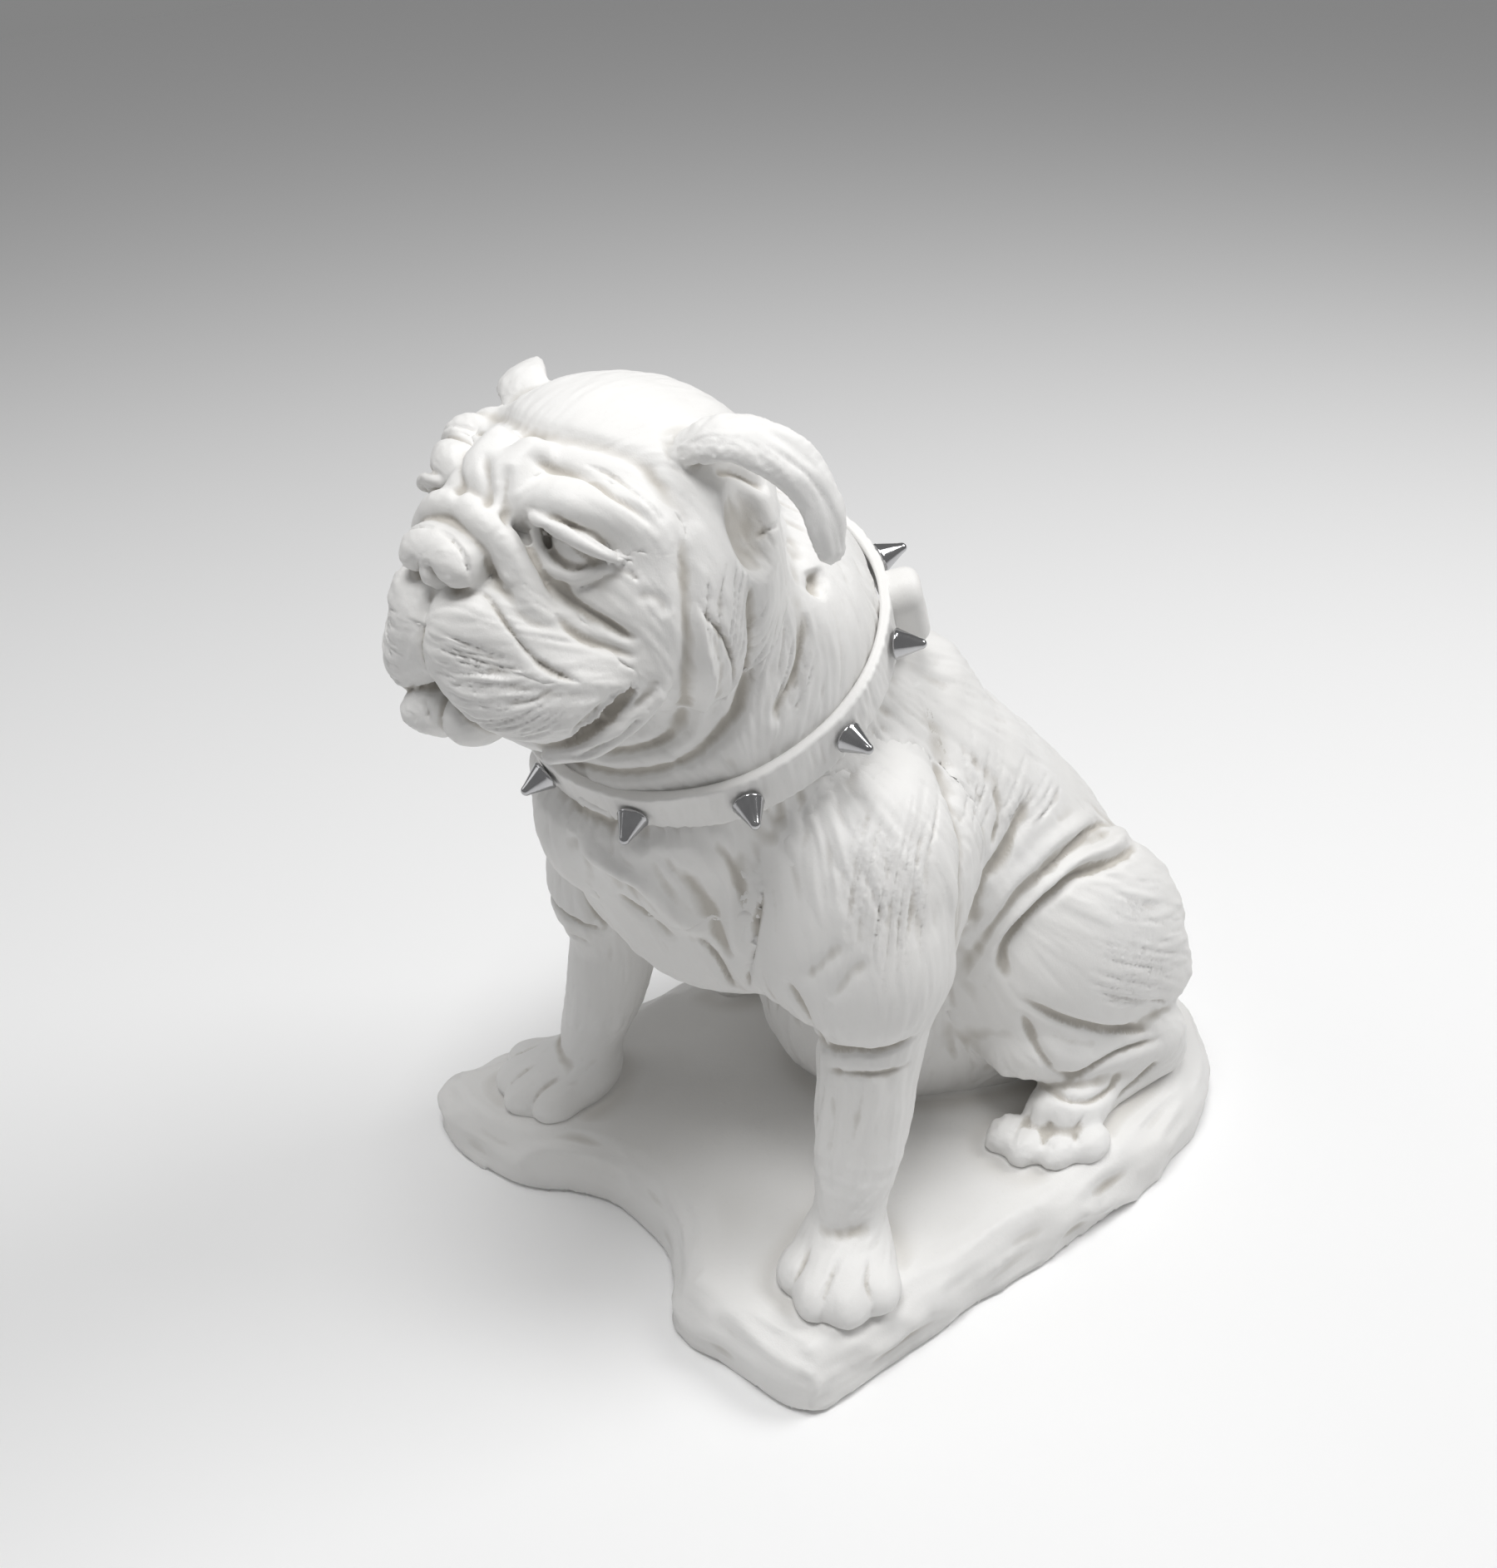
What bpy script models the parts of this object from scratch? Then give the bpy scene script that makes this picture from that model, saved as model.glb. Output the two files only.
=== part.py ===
"""Bulldog garden statue: a seated bulldog cast in one piece with its freeform base and its collar,
with polished metal cone spikes set round the collar.

Metres, +Z up. The dog faces -Y and its left side is +X. The base stands on z = 0.

The dog is modelled like clay. Balls and rolls are laid over each other, the voids between them are
filled by a soft seam, and creases are then drawn into the skin. The figure is drawn on a grid of
38.5 units from the base's top to its crown, so that its pose and its carving follow its height.
"""

import math

import bmesh
import bpy
import numpy as np
from mathutils import Euler, Matrix, Vector

# Driving dimensions.
HEIGHT = 0.415
BASE_THICK = 0.03
RIM_ROUND = 0.009
COLLAR_WIDE = 0.0215
COLLAR_THICK = 0.0042
SPIKE_COUNT = 11
SPIKE_DIAMETER = 0.0125
SPIKE_LONG = 0.0125
SPIKE_TIP = 0.0021
SEAT_RISE = 0.0006
GAP = 0.0003

# The figure's grid.
GRID_TALL = 38.5
UNIT = (HEIGHT - BASE_THICK) / GRID_TALL
SWAY = 0.28
SWAY_FROM = -7.0
# Where the toes' tips are, from the inner one to the outer one.
FORE_TOES = ((7.7, -13.3), (9.2, -13.8), (10.6, -13.1), (11.3, -11.7))
HIND_TOES = ((8.6, -0.5), (9.8, -0.6), (10.9, 0.2), (11.4, 1.5))

# The collar's ring, on the grid: its middle, its turn, and its half widths across and from front to back.
COLLAR_AT = (-1.48, -7.33, 26.12)
COLLAR_TURN = (24.4, 5.85, 0)
COLLAR_SIDE = 7.69
COLLAR_FRONT = 7.97
FIRST_SPIKE = -11.3
SEAT_EDGE = 0.0004

# The buckle tab at the nape.
TAB_ANGLE = 137
TAB_TALL = 0.036
TAB_WIDE = 0.023
TAB_THICK = 0.016
TAB_STANDS = 0.0125
TAB_SUNK = 0.0022
TAB_DROP = 0.008

# How finely the solid is modelled.
VOXEL = 0.0036
FACES = 5600


def clear_scene():
    for obj in list(bpy.data.objects):
        bpy.data.objects.remove(obj, do_unlink=True)


def collection(name, shown=True):
    made = bpy.data.collections.new(name)
    made.hide_render = not shown
    bpy.context.scene.collection.children.link(made)
    return made


def material(name, colour, roughness, metallic):
    made = bpy.data.materials.new(name)
    made.use_nodes = True
    shader = made.node_tree.nodes["Principled BSDF"]
    shader.inputs["Base Color"].default_value = (*colour, 1)
    shader.inputs["Roughness"].default_value = roughness
    shader.inputs["Metallic"].default_value = metallic
    made.diffuse_color = (*colour, 1)
    return made


# Clay: the forms that the figure is built up from, in grid units.


class Ball:
    """An ellipsoid with its half sizes and its turn in degrees."""

    def __init__(self, at, size, turn=(0, 0, 0), seam=1.2, cut=False, both=False):
        self.at = np.array(at, float)
        self.size = np.array(size, float) * np.ones(3)
        self.turn = np.array(Euler(np.radians(turn)).to_matrix())
        self.seam, self.cut, self.both = seam, cut, both
        self.middle, self.reach = self.at, self.size.max()

    def distance(self, points):
        local = (points - self.at) @ self.turn
        near = np.linalg.norm(local / self.size, axis=1)
        slope = np.linalg.norm(local / self.size**2, axis=1)
        return near * (near - 1) / np.maximum(slope, 1e-9)

    def blanks(self):
        yield self.at, self.size, self.turn


class Roll:
    """A roll of clay along a smooth path, with its half thickness at each point."""

    def __init__(self, path, thick, seam=0.8, cut=False, both=False):
        thick = np.array(thick, float) * np.ones(len(path))
        bent = smooth(np.column_stack([np.array(path, float), thick]))
        self.path, self.thick = bent[:, :3], bent[:, 3]
        self.seam, self.cut, self.both = seam, cut, both
        self.middle = (self.path.min(axis=0) + self.path.max(axis=0)) / 2
        self.reach = (np.linalg.norm(self.path - self.middle, axis=1) + self.thick).max()

    def distance(self, points):
        best = np.full(len(points), np.inf)
        for here, there, now, then in zip(self.path, self.path[1:], self.thick, self.thick[1:]):
            along = there - here
            share = np.clip((points - here) @ along / (along @ along), 0, 1)
            reach = np.linalg.norm(points - here - share[:, None] * along, axis=1)
            best = np.minimum(best, reach - now - (then - now) * share)
        return best

    def blanks(self):
        for at, thick in zip(self.path, self.thick):
            yield at, np.ones(3) * thick, np.eye(3)


class Ring:
    """A hoop round its frame's z axis, with half widths across and from front to back."""

    def __init__(self, side, front, size, seam=0.6, cut=False):
        self.side, self.front, self.size = side, front, np.array(size, float)
        self.seam, self.cut, self.both = seam, cut, False
        self.middle, self.reach = np.zeros(3), max(side, front) + max(size)

    def distance(self, points):
        stretch = np.hypot(points[:, 0] / self.side, points[:, 1] / self.front)
        away = (stretch - 1) * (self.side + self.front) / 2
        section = np.column_stack([away, points[:, 2]])
        near = np.linalg.norm(section / self.size, axis=1)
        slope = np.linalg.norm(section / self.size**2, axis=1)
        return near * (near - 1) / np.maximum(slope, 1e-9)

    def blanks(self):
        return iter(())


def smooth(points, steps=5):
    """A smooth curve through the points, with this many steps between each two."""
    points = np.asarray(points, float)
    if len(points) < 3:
        return points
    ends = np.vstack([2 * points[0] - points[1], points, 2 * points[-1] - points[-2]])
    curve = []
    for a, b, c, d in zip(ends, ends[1:], ends[2:], ends[3:]):
        for t in np.arange(steps) / steps:
            bend = (2 * a - 5 * b + 4 * c - d) * t**2 + (3 * b - a - 3 * c + d) * t**3
            curve.append(b + ((c - a) * t + bend) / 2)
    return np.array(curve + [points[-1]])


class Frame:
    """A set of forms in its own axes: x to the dog's left, y backward and z up, about an origin."""

    def __init__(self, at=(0, 0, 0), turn=(0, 0, 0), swayed=False):
        self.at = np.array(at, float)
        self.turn = np.array(Euler(np.radians(turn)).to_matrix())
        self.swayed = swayed
        self.forms = []
        self.strokes = []

    def inward(self, points):
        points = np.array(points, float)
        if self.swayed:
            points[:, 0] -= sway(points[:, 1])
        return (points - self.at) @ self.turn

    def outward(self, points):
        points = np.asarray(points, float) @ self.turn.T + self.at
        if self.swayed:
            points[:, 0] += sway(points[:, 1])
        return points


def sway(backward):
    """How far the hindquarters swing toward the dog's left of the line of its forelegs."""
    behind = backward - SWAY_FROM
    return SWAY * (np.sqrt(behind**2 + 4) + behind) / 2


def seam_join(a, b, width):
    share = np.clip(0.5 + 0.5 * (b - a) / width, 0, 1)
    return b + (a - b) * share - width * share * (1 - share)


def field(frames, points, margin=1.0):
    """Distance from each point to the clay's skin, inside negative."""
    total = np.full(len(points), 50.0)
    for frame in frames:
        local = frame.inward(points)
        folded = local.copy()
        folded[:, 0] = np.abs(folded[:, 0])
        for form in frame.forms:
            seen = folded if form.both else local
            offset = seen - form.middle
            limit = form.reach + form.seam + margin
            close = np.flatnonzero(np.einsum("ij,ij->i", offset, offset) < limit**2)
            if not len(close):
                continue
            distance = form.distance(seen[close])
            if form.cut:
                total[close] = -seam_join(-total[close], distance, form.seam)
            else:
                total[close] = seam_join(total[close], distance, form.seam)
    return total


def slope(frames, points, step=0.02):
    """Distance and its gradient."""
    here = field(frames, points)
    gradient = np.empty_like(points)
    for axis in range(3):
        moved = points.copy()
        moved[:, axis] += step
        gradient[:, axis] = (field(frames, moved) - here) / step
    return here, gradient


def settle(frames, points, turns=3, reach=0.6):
    """Moves points onto the clay's skin."""
    points = np.array(points, float)
    for _ in range(turns):
        here, gradient = slope(frames, points)
        steep = np.einsum("ij,ij->i", gradient, gradient)
        push = np.where(np.abs(here) < 10, here / np.maximum(steep, 0.2), 0)
        points -= gradient * np.clip(push, -reach, reach)[:, None]
    return points


# Strokes: creases and ridges drawn into the skin.


class Stroke:
    """A tool's stroke along a path on the skin: a groove where depth is over 0, or else a ridge."""

    def __init__(self, path, wide, depth, both=False, lip=0.0):
        self.path = np.array(path, float)
        self.wide, self.depth, self.both, self.lip = wide, depth, both, lip


def press(frames, points, normals, least_wide=0.0):
    """Presses every stroke into the skin, along its normals."""
    sunk = np.zeros(len(points))
    for frame in frames:
        for stroke in frame.strokes:
            if stroke.wide < least_wide:
                continue
            for side in (1, -1) if stroke.both else (1,):
                path = smooth(stroke.path * (side, 1, 1))
                path = settle(frames, frame.outward(path), turns=4)
                sunk += stroke_depth(stroke, path, points)
    return points - normals * sunk[:, None]


def stroke_depth(stroke, path, points):
    reach = 2.6 * stroke.wide
    low, high = path.min(axis=0) - reach, path.max(axis=0) + reach
    close = np.flatnonzero(((points > low) & (points < high)).all(axis=1))
    found = np.zeros(len(points))
    if not len(close):
        return found
    best = np.full(len(close), np.inf)
    run = np.zeros(len(close))
    lengths = np.linalg.norm(np.diff(path, axis=0), axis=1)
    total = lengths.sum()
    walked = 0.0
    for here, there, length in zip(path, path[1:], lengths):
        along = there - here
        share = np.clip((points[close] - here) @ along / max(length**2, 1e-9), 0, 1)
        away = np.linalg.norm(points[close] - here - share[:, None] * along, axis=1)
        nearer = away < best
        best = np.where(nearer, away, best)
        run = np.where(nearer, walked + share * length, run)
        walked += length
    ends = np.clip(np.minimum(run, total - run) / (0.3 * total), 0, 1)
    fade = np.sin(ends * math.pi / 2)
    across = best / stroke.wide
    groove = np.exp(-(across**2)) - stroke.lip * np.exp(-((across - 1.5) ** 2) * 2)
    found[close] = stroke.depth * groove * fade
    return found


# The dog.


def trunk():
    """Trunk, haunches and hind legs, on the swayed line of the back."""
    part = Frame(swayed=True)
    part.forms = [
        # Chest, back and belly.
        Roll([(-1.7, -8.6, 21.4), (-1.3, -5.8, 15.6)], [6.2, 6.7], seam=2),
        Roll([(-1.7, -3.2, 20.4), (-0.3, 1.3, 14.0), (0, 5.1, 8.0), (0, 5.8, 3.6)], [6.4, 7.2, 7.5, 7.2], seam=3),
        Ball((0, 1.4, 5.6), (5.4, 6.4, 7.6), seam=2.5),
        # Haunches.
        Ball((5.5, 5.2, 7.8), (4.8, 6.0, 6.4), turn=(20, 0, 0), seam=1.0, both=True),
        Roll([(7.3, 1.8, 4.8), (7.9, 4.0, 3.6), (8.6, 7.4, 2.8)], [2.1, 2.1, 2.4], seam=0.5, both=True),
        Roll([(8.7, 8.2, 1.3), (8.6, 4.6, 1.0), (9.5, 1.9, 0.9)], [2.0, 1.7, 1.6], seam=0.7, both=True),
    ]
    for x, y in HIND_TOES:
        part.forms.append(Ball((x, y, 0.65), (0.75, 1.1, 0.8), turn=(0, 0, 20), seam=0.35, both=True))
    part.strokes = [
        # Folds of the chest.
        Stroke([(-2.2, -14.7, 20.5), (-1.6, -13.4, 18.6), (-1.3, -11.8, 16.0), (-1.2, -9.6, 12.6)], 0.6, -0.5),
        # Valley behind the shoulder, and the skin between flank and thigh.
        Stroke([(4.0, 0.4, 21.6), (5.8, -2.4, 19.0), (7.2, -3.6, 15.0), (7.2, -3.8, 11.0)], 1.0, 0.7, both=True),
        Stroke([(4.6, 4.6, 17.0), (5.6, 1.6, 15.0), (5.8, -0.6, 12.4), (5.4, -1.6, 9.6)], 0.7, -0.6, both=True),
        Stroke([(6.6, 7.0, 13.6), (6.8, 3.5, 13.6), (6.3, 1.2, 12.4), (6.0, -0.8, 9.8)], 0.6, -0.5, both=True),
        # The thigh's lower edge.
        Stroke([(6.4, -0.6, 10.4), (7.6, 0.0, 8.0), (9.0, 2.0, 6.2), (9.8, 6.0, 5.0)], 0.5, 0.5, both=True),
        Stroke([(8.0, 0.4, 5.6), (9.0, 2.2, 4.4), (9.8, 5.0, 4.0)], 0.35, 0.3, both=True),
    ]
    part.strokes += toe_gaps(HIND_TOES, 0.22)
    return part


def forequarters():
    """Shoulders and forelegs, square to the front."""
    part = Frame()
    part.forms = [
        Ball((5.7, -5.9, 16.4), (4.0, 5.3, 6.2), turn=(-14, 0, 0), seam=2.2, both=True),
        Ball((7.6, -7.2, 13.7), (3.1, 3.6, 4.2), turn=(-10, 0, 0), seam=1.0, both=True),
        Roll([(7.5, -7.2, 11.6), (7.8, -8.5, 6.4), (8.25, -9.9, 1.9)], [2.25, 2.0, 1.5], seam=0.5, both=True),
        Ball((9.0, -11.4, 0.9), (2.1, 2.7, 1.4), turn=(0, 0, 35), seam=0.7, both=True),
    ]
    for x, y in FORE_TOES:
        part.forms.append(Ball((x, y, 0.7), (0.85, 1.1, 0.85), turn=(0, 0, 30), seam=0.35, both=True))
    part.strokes = [
        # Creases at the elbows.
        Stroke([(5.4, -7.6, 11.2), (6.6, -9.9, 11.4), (8.6, -9.9, 11.3), (9.9, -7.6, 11.1)], 0.3, 0.5, both=True),
        Stroke([(5.6, -8.4, 10.2), (7.2, -10.2, 10.4), (9.2, -9.4, 10.3), (9.8, -7.8, 10.2)], 0.25, 0.25, both=True),
        # Folds of the chest beside the shoulders.
        Stroke([(3.0, -12.6, 21.2), (2.7, -12.0, 18.6), (2.3, -11.2, 15.6)], 0.6, -0.45, both=True),
        Stroke([(4.3, -10.9, 18.8), (3.9, -11.1, 16.3), (3.2, -10.2, 13.6)], 0.3, 0.35, both=True),
    ]
    part.strokes += toe_gaps(FORE_TOES, 0.25)
    return part


def toe_gaps(toes, wide):
    """A groove between each toe and the next."""
    gaps = []
    for (x, y), (u, v) in zip(toes, toes[1:]):
        x, y = (x + u) / 2, (y + v) / 2 - 0.2
        path = [(x, y, 0.3), (x - 0.15, y + 0.4, 1.4), (x - 0.5, y + 1.4, 2.0)]
        gaps.append(Stroke(path, wide, 0.3, both=True))
    return gaps


def neck():
    """The neck, in the collar's axes, with the channel that the collar lies in."""
    part = Frame(COLLAR_AT, COLLAR_TURN)
    side, front = COLLAR_SIDE, COLLAR_FRONT
    part.forms = [
        Ball((0, 0, 0.6), (side - 0.5, front - 0.6, 6.6), seam=1.2),
        Ring(side + 1.2, front + 1.2, (1.65, 1.25), seam=0.5, cut=True),
        Roll([(-0.1, -7.6, -0.4), (0.7, -7.65, -0.4), (1.5, -7.5, -0.4)], [0.35, 0.4, 0.35], seam=0.4),
        Ball((-1.0, -6.3, -3.6), (3.4, 1.8, 2.4), seam=0.8),
    ]
    return part


def head():
    part = Frame(at=(-1.5, -12.3, 33.0), turn=(0, 0, 0))
    part.forms = [
        # Skull, cheeks and brows.
        Ball((0.2, 0.8, 1.0), (5.8, 5.6, 4.5), seam=1.6),
        Ball((4.1, -0.2, -1.2), (2.8, 4.2, 3.8), seam=1.4, both=True),
        Roll([(0.8, -4.4, 2.9), (2.8, -4.0, 3.3), (4.8, -2.6, 2.7), (5.6, -0.8, 1.2)],
             [0.6, 0.85, 0.85, 0.6], seam=1.4, both=True),
        # Muzzle and flews.
        Ball((0, -4.0, -0.8), (4.2, 3.4, 2.9), seam=1.0),
        Roll([(1.5, -6.1, -1.3), (2.9, -5.5, -2.2), (4.4, -3.9, -2.6)], [2.0, 2.25, 1.5], seam=0.35, both=True),
        # Chin and lower jaw.
        Ball((0, -6.6, -4.1), (2.5, 2.3, 1.15), seam=0.25),
        Roll([(1.0, -5.8, -4.4), (3.4, -4.6, -4.4), (5.0, -2.6, -3.7)], [0.9, 0.9, 0.8], seam=0.3, both=True),
        # Nose and the roll of skin over it.
        Ball((0, -6.6, 1.7), (1.9, 1.3, 1.15), seam=0.4),
        Ball((1.05, -7.6, 1.1), (0.4, 0.6, 0.3), turn=(0, 30, 0), seam=0.3, cut=True, both=True),
        Roll([(0, -5.8, 2.8), (1.3, -5.9, 2.5), (2.2, -5.9, 1.2), (3.1, -5.6, 0.0), (4.1, -4.9, -1.0), (5.2, -3.6, -1.9)],
             [0.65, 0.6, 0.6, 0.65, 0.65, 0.6], seam=0.4, both=True),
        # Eyes, with their lids.
        Ball((3.1, -4.1, 1.8), (1.1, 0.9, 0.85), turn=(0, 25, 25), seam=0.7, cut=True, both=True),
        Ball((3.0, -3.6, 1.8), (0.95, 0.8, 0.8), seam=0.1, both=True),
        Roll([(2.0, -4.7, 2.5), (2.9, -4.6, 2.6), (4.0, -3.9, 2.0), (4.7, -3.1, 1.3)], [0.2, 0.32, 0.32, 0.2],
             seam=0.35, both=True),
        Roll([(2.3, -4.6, 1.6), (3.0, -4.5, 1.15), (3.9, -3.9, 1.1), (4.6, -3.2, 1.1)], [0.18, 0.25, 0.25, 0.18],
             seam=0.3, both=True),
    ]
    # Ears: the far one lies a little closer to the skull.
    for side, inward in ((1, 0), (-1, 0.7)):
        part.forms.append(Ball((side * (6.9 - inward), 1.7, 2.2), (1.0, 1.4, 1.9), seam=0.5, cut=True))
        for (x, y, z), size, tilt in (
            ((5.6, 0.8, 4.7), (1.5, 1.6, 0.6), 12),
            ((6.9, 1.5, 4.3), (1.2, 1.6, 0.5), 42),
            ((7.8, 2.2, 3.1), (1.2, 1.5, 0.45), 75),
            ((8.2, 2.8, 1.7), (1.2, 1.2, 0.45), 88),
            ((8.2, 3.2, 0.5), (0.9, 0.9, 0.45), 90),
        ):
            at = (side * (x - inward), y, z - 0.6 * inward)
            part.forms.append(Ball(at, size, turn=(0, side * tilt, side * 12), seam=0.6))
    part.strokes = [
        Stroke([(0, -7.9, 0.7), (0, -8.3, -1.0), (0, -8.3, -3.2)], 0.25, 0.3),
        Stroke([(0, -2.2, 4.7), (2.1, -2.4, 4.4), (4.2, -2.2, 3.9), (5.6, -1.6, 2.9)], 0.35, 0.3, both=True),
        Stroke([(2.9, -4.6, 0.9), (4.3, -4.1, 0.4), (5.6, -3.0, -0.3)], 0.3, 0.3, both=True),
        Stroke([(5.6, -0.7, 4.0), (6.0, -1.6, 2.6), (6.1, -2.1, 0.8), (6.4, -2.1, -1.0)], 0.35, 0.35, both=True),
        Stroke([(6.4, -1.8, 0.2), (6.7, -1.3, -1.2), (6.3, -0.2, -3.5), (5.6, 1.0, -5.7)], 0.45, 0.4, both=True),
        Stroke([(5.9, 0.4, -0.2), (6.2, 1.2, -2.4), (5.8, 2.4, -4.8)], 0.45, 0.35, both=True),
    ]
    return part


def figure():
    return [trunk(), forequarters(), neck(), head()]


# From clay to mesh.


def blank_mesh(frames):
    """One mesh with every form of the clay in it, as rough spheres."""
    body = bmesh.new()
    for frame in frames:
        turn = Matrix(frame.turn.tolist()).to_4x4()
        for form in frame.forms:
            if form.cut:
                continue
            for side in (1, -1) if form.both else (1,):
                for at, size, own in form.blanks():
                    spin = Matrix(np.array(own).tolist()).to_4x4()
                    place = Matrix.Translation(Vector(at)) @ spin @ Matrix.Diagonal((*size, 1))
                    flip = Matrix.Diagonal((side, 1, 1, 1))
                    place = Matrix.Translation(Vector(frame.at)) @ turn @ flip @ place
                    made = bmesh.ops.create_icosphere(body, subdivisions=3, radius=1, matrix=place)
                    if side < 0:
                        faces = {face for vert in made["verts"] for face in vert.link_faces}
                        bmesh.ops.reverse_faces(body, faces=list(faces))
                    if frame.swayed:
                        for vert in made["verts"]:
                            vert.co.x += float(sway(vert.co.y))
    mesh = bpy.data.meshes.new("clay")
    body.to_mesh(mesh)
    body.free()
    return mesh


def positions(mesh):
    flat = np.empty(len(mesh.vertices) * 3, np.float32)
    mesh.vertices.foreach_get("co", flat)
    return flat.reshape(-1, 3).astype(float)


def place_all(mesh, points):
    mesh.vertices.foreach_set("co", points.astype(np.float32).ravel())
    mesh.update()


def vertex_normals(mesh):
    flat = np.empty(len(mesh.vertices) * 3, np.float32)
    mesh.vertex_normals.foreach_get("vector", flat)
    return flat.reshape(-1, 3).astype(float)


def remeshed(obj, voxel):
    """The object's mesh, rebuilt as one even skin."""
    modifier = obj.modifiers.new("skin", "REMESH")
    modifier.mode = "VOXEL"
    modifier.voxel_size = voxel
    modifier.adaptivity = 0
    graph = bpy.context.evaluated_depsgraph_get()
    mesh = bpy.data.meshes.new_from_object(obj.evaluated_get(graph))
    obj.modifiers.clear()
    old = obj.data
    obj.data = mesh
    bpy.data.meshes.remove(old)


def clay_object(name, frames, voxel, into):
    """The clay as one even mesh with its strokes, in metres above the base."""
    obj = bpy.data.objects.new(name, blank_mesh(frames))
    into.objects.link(obj)
    for size in (max(voxel, 0.3), voxel):
        remeshed(obj, size)
        place_all(obj.data, settle(frames, positions(obj.data)))
    mesh = obj.data
    place_all(mesh, press(frames, positions(mesh), vertex_normals(mesh), least_wide=0.6 * voxel))
    mesh.transform(Matrix.Translation((0, 0, BASE_THICK)) @ Matrix.Scale(UNIT, 4))
    return obj


def trim_below(mesh, height):
    """Cuts the mesh off flat at this height and closes it."""
    body = bmesh.new()
    body.from_mesh(mesh)
    everything = body.verts[:] + body.edges[:] + body.faces[:]
    bmesh.ops.bisect_plane(body, geom=everything, plane_co=(0, 0, height), plane_no=(0, 0, -1), clear_outer=True)
    bmesh.ops.holes_fill(body, edges=[edge for edge in body.edges if edge.is_boundary])
    body.to_mesh(mesh)
    body.free()


# The base.


def base_outline():
    """The edge of the base, from its right front corner round by the dog's left side."""
    return [
        (-14.6, -14.6), (-13.2, -15.8), (-10.6, -16.1), (-8.0, -15.7), (-5.6, -14.2), (-3.2, -13.4),
        (-0.8, -13.6), (1.3, -14.3), (2.9, -15.7), (4.2, -16.9), (8.6, -16.8), (10.9, -16.3),
        (11.7, -14.6), (12.7, -10.0), (14.0, -5.0), (15.2, -0.5), (16.0, 4.0), (16.0, 8.0),
        (15.0, 11.4), (12.4, 14.2), (8.6, 15.8), (4.6, 16.0), (0.6, 14.8), (-3.2, 12.4),
        (-6.2, 9.2), (-8.2, 5.2), (-9.4, 1.0), (-10.4, -3.0), (-12.0, -8.2), (-13.8, -12.0),
    ]


def base_object(into):
    corners = np.array(base_outline())
    loop = smooth(np.vstack([corners[-1:], corners, corners[:2]]), steps=3)[3:-3]
    body = bmesh.new()
    verts = [body.verts.new((x * UNIT, y * UNIT, 0)) for x, y in loop[:-1]]
    under = body.faces.new(verts)
    bmesh.ops.recalc_face_normals(body, faces=[under])
    if under.normal.z > 0:
        under.normal_flip()
    raised = bmesh.ops.extrude_face_region(body, geom=[under])
    top = [item for item in raised["geom"] if isinstance(item, bmesh.types.BMVert)]
    bmesh.ops.translate(body, verts=top, vec=(0, 0, BASE_THICK))
    rim = [edge for edge in body.edges if all(vert in set(top) for vert in edge.verts)]
    bmesh.ops.bevel(body, geom=rim, offset=RIM_ROUND, segments=3, profile=0.5, affect="EDGES")
    bmesh.ops.recalc_face_normals(body, faces=body.faces[:])
    mesh = bpy.data.meshes.new("base")
    body.to_mesh(mesh)
    body.free()
    obj = bpy.data.objects.new("base", mesh)
    into.objects.link(obj)
    return obj


# The collar, in its own axes: x to the dog's left, y backward, z along the neck.


def collar_place():
    place = Matrix.Translation(Vector(COLLAR_AT) * UNIT + Vector((0, 0, BASE_THICK)))
    return place @ Euler([math.radians(angle) for angle in COLLAR_TURN]).to_matrix().to_4x4()


def on_collar(angle, outward=0.0):
    """The place on the band's outer face at this angle, with +Z pointing straight out of it."""
    turn = math.radians(angle)
    away = Vector((math.sin(turn) * COLLAR_SIDE, -math.cos(turn) * COLLAR_FRONT, 0)) * UNIT
    normal = Vector((math.sin(turn) / COLLAR_SIDE, -math.cos(turn) / COLLAR_FRONT, 0)).normalized()
    return Matrix.Translation(away + normal * outward) @ normal.to_track_quat("Z", "X").to_matrix().to_4x4()


def spike_angles():
    return [FIRST_SPIKE + 360 / SPIKE_COUNT * number for number in range(SPIKE_COUNT)]


def collar_band(into):
    bpy.ops.mesh.primitive_cylinder_add(vertices=66, radius=1, depth=COLLAR_WIDE, end_fill_type="NOTHING")
    band = bpy.context.object
    band.name = "collar_band"
    band.data.transform(Matrix.Diagonal((COLLAR_SIDE * UNIT, COLLAR_FRONT * UNIT, 1, 1)))
    band.data.transform(collar_place())
    wall = band.modifiers.new("wall", "SOLIDIFY")
    wall.thickness = COLLAR_THICK
    wall.offset = -1
    wall.use_even_offset = True
    move(band, into)
    return band


def spike_seats(into):
    """Flat pads on the band, one under each spike."""
    for number, angle in enumerate(spike_angles(), 1):
        body = bmesh.new()
        deep = COLLAR_THICK
        bmesh.ops.create_cone(body, cap_ends=True, segments=14, radius1=SPIKE_DIAMETER / 2 + SEAT_EDGE,
                              radius2=SPIKE_DIAMETER / 2 + SEAT_EDGE, depth=deep)
        place = collar_place() @ on_collar(angle, SEAT_RISE - deep / 2)
        bmesh.ops.transform(body, matrix=place, verts=body.verts)
        add_mesh(f"seat_{number:02d}", body, into)


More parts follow.
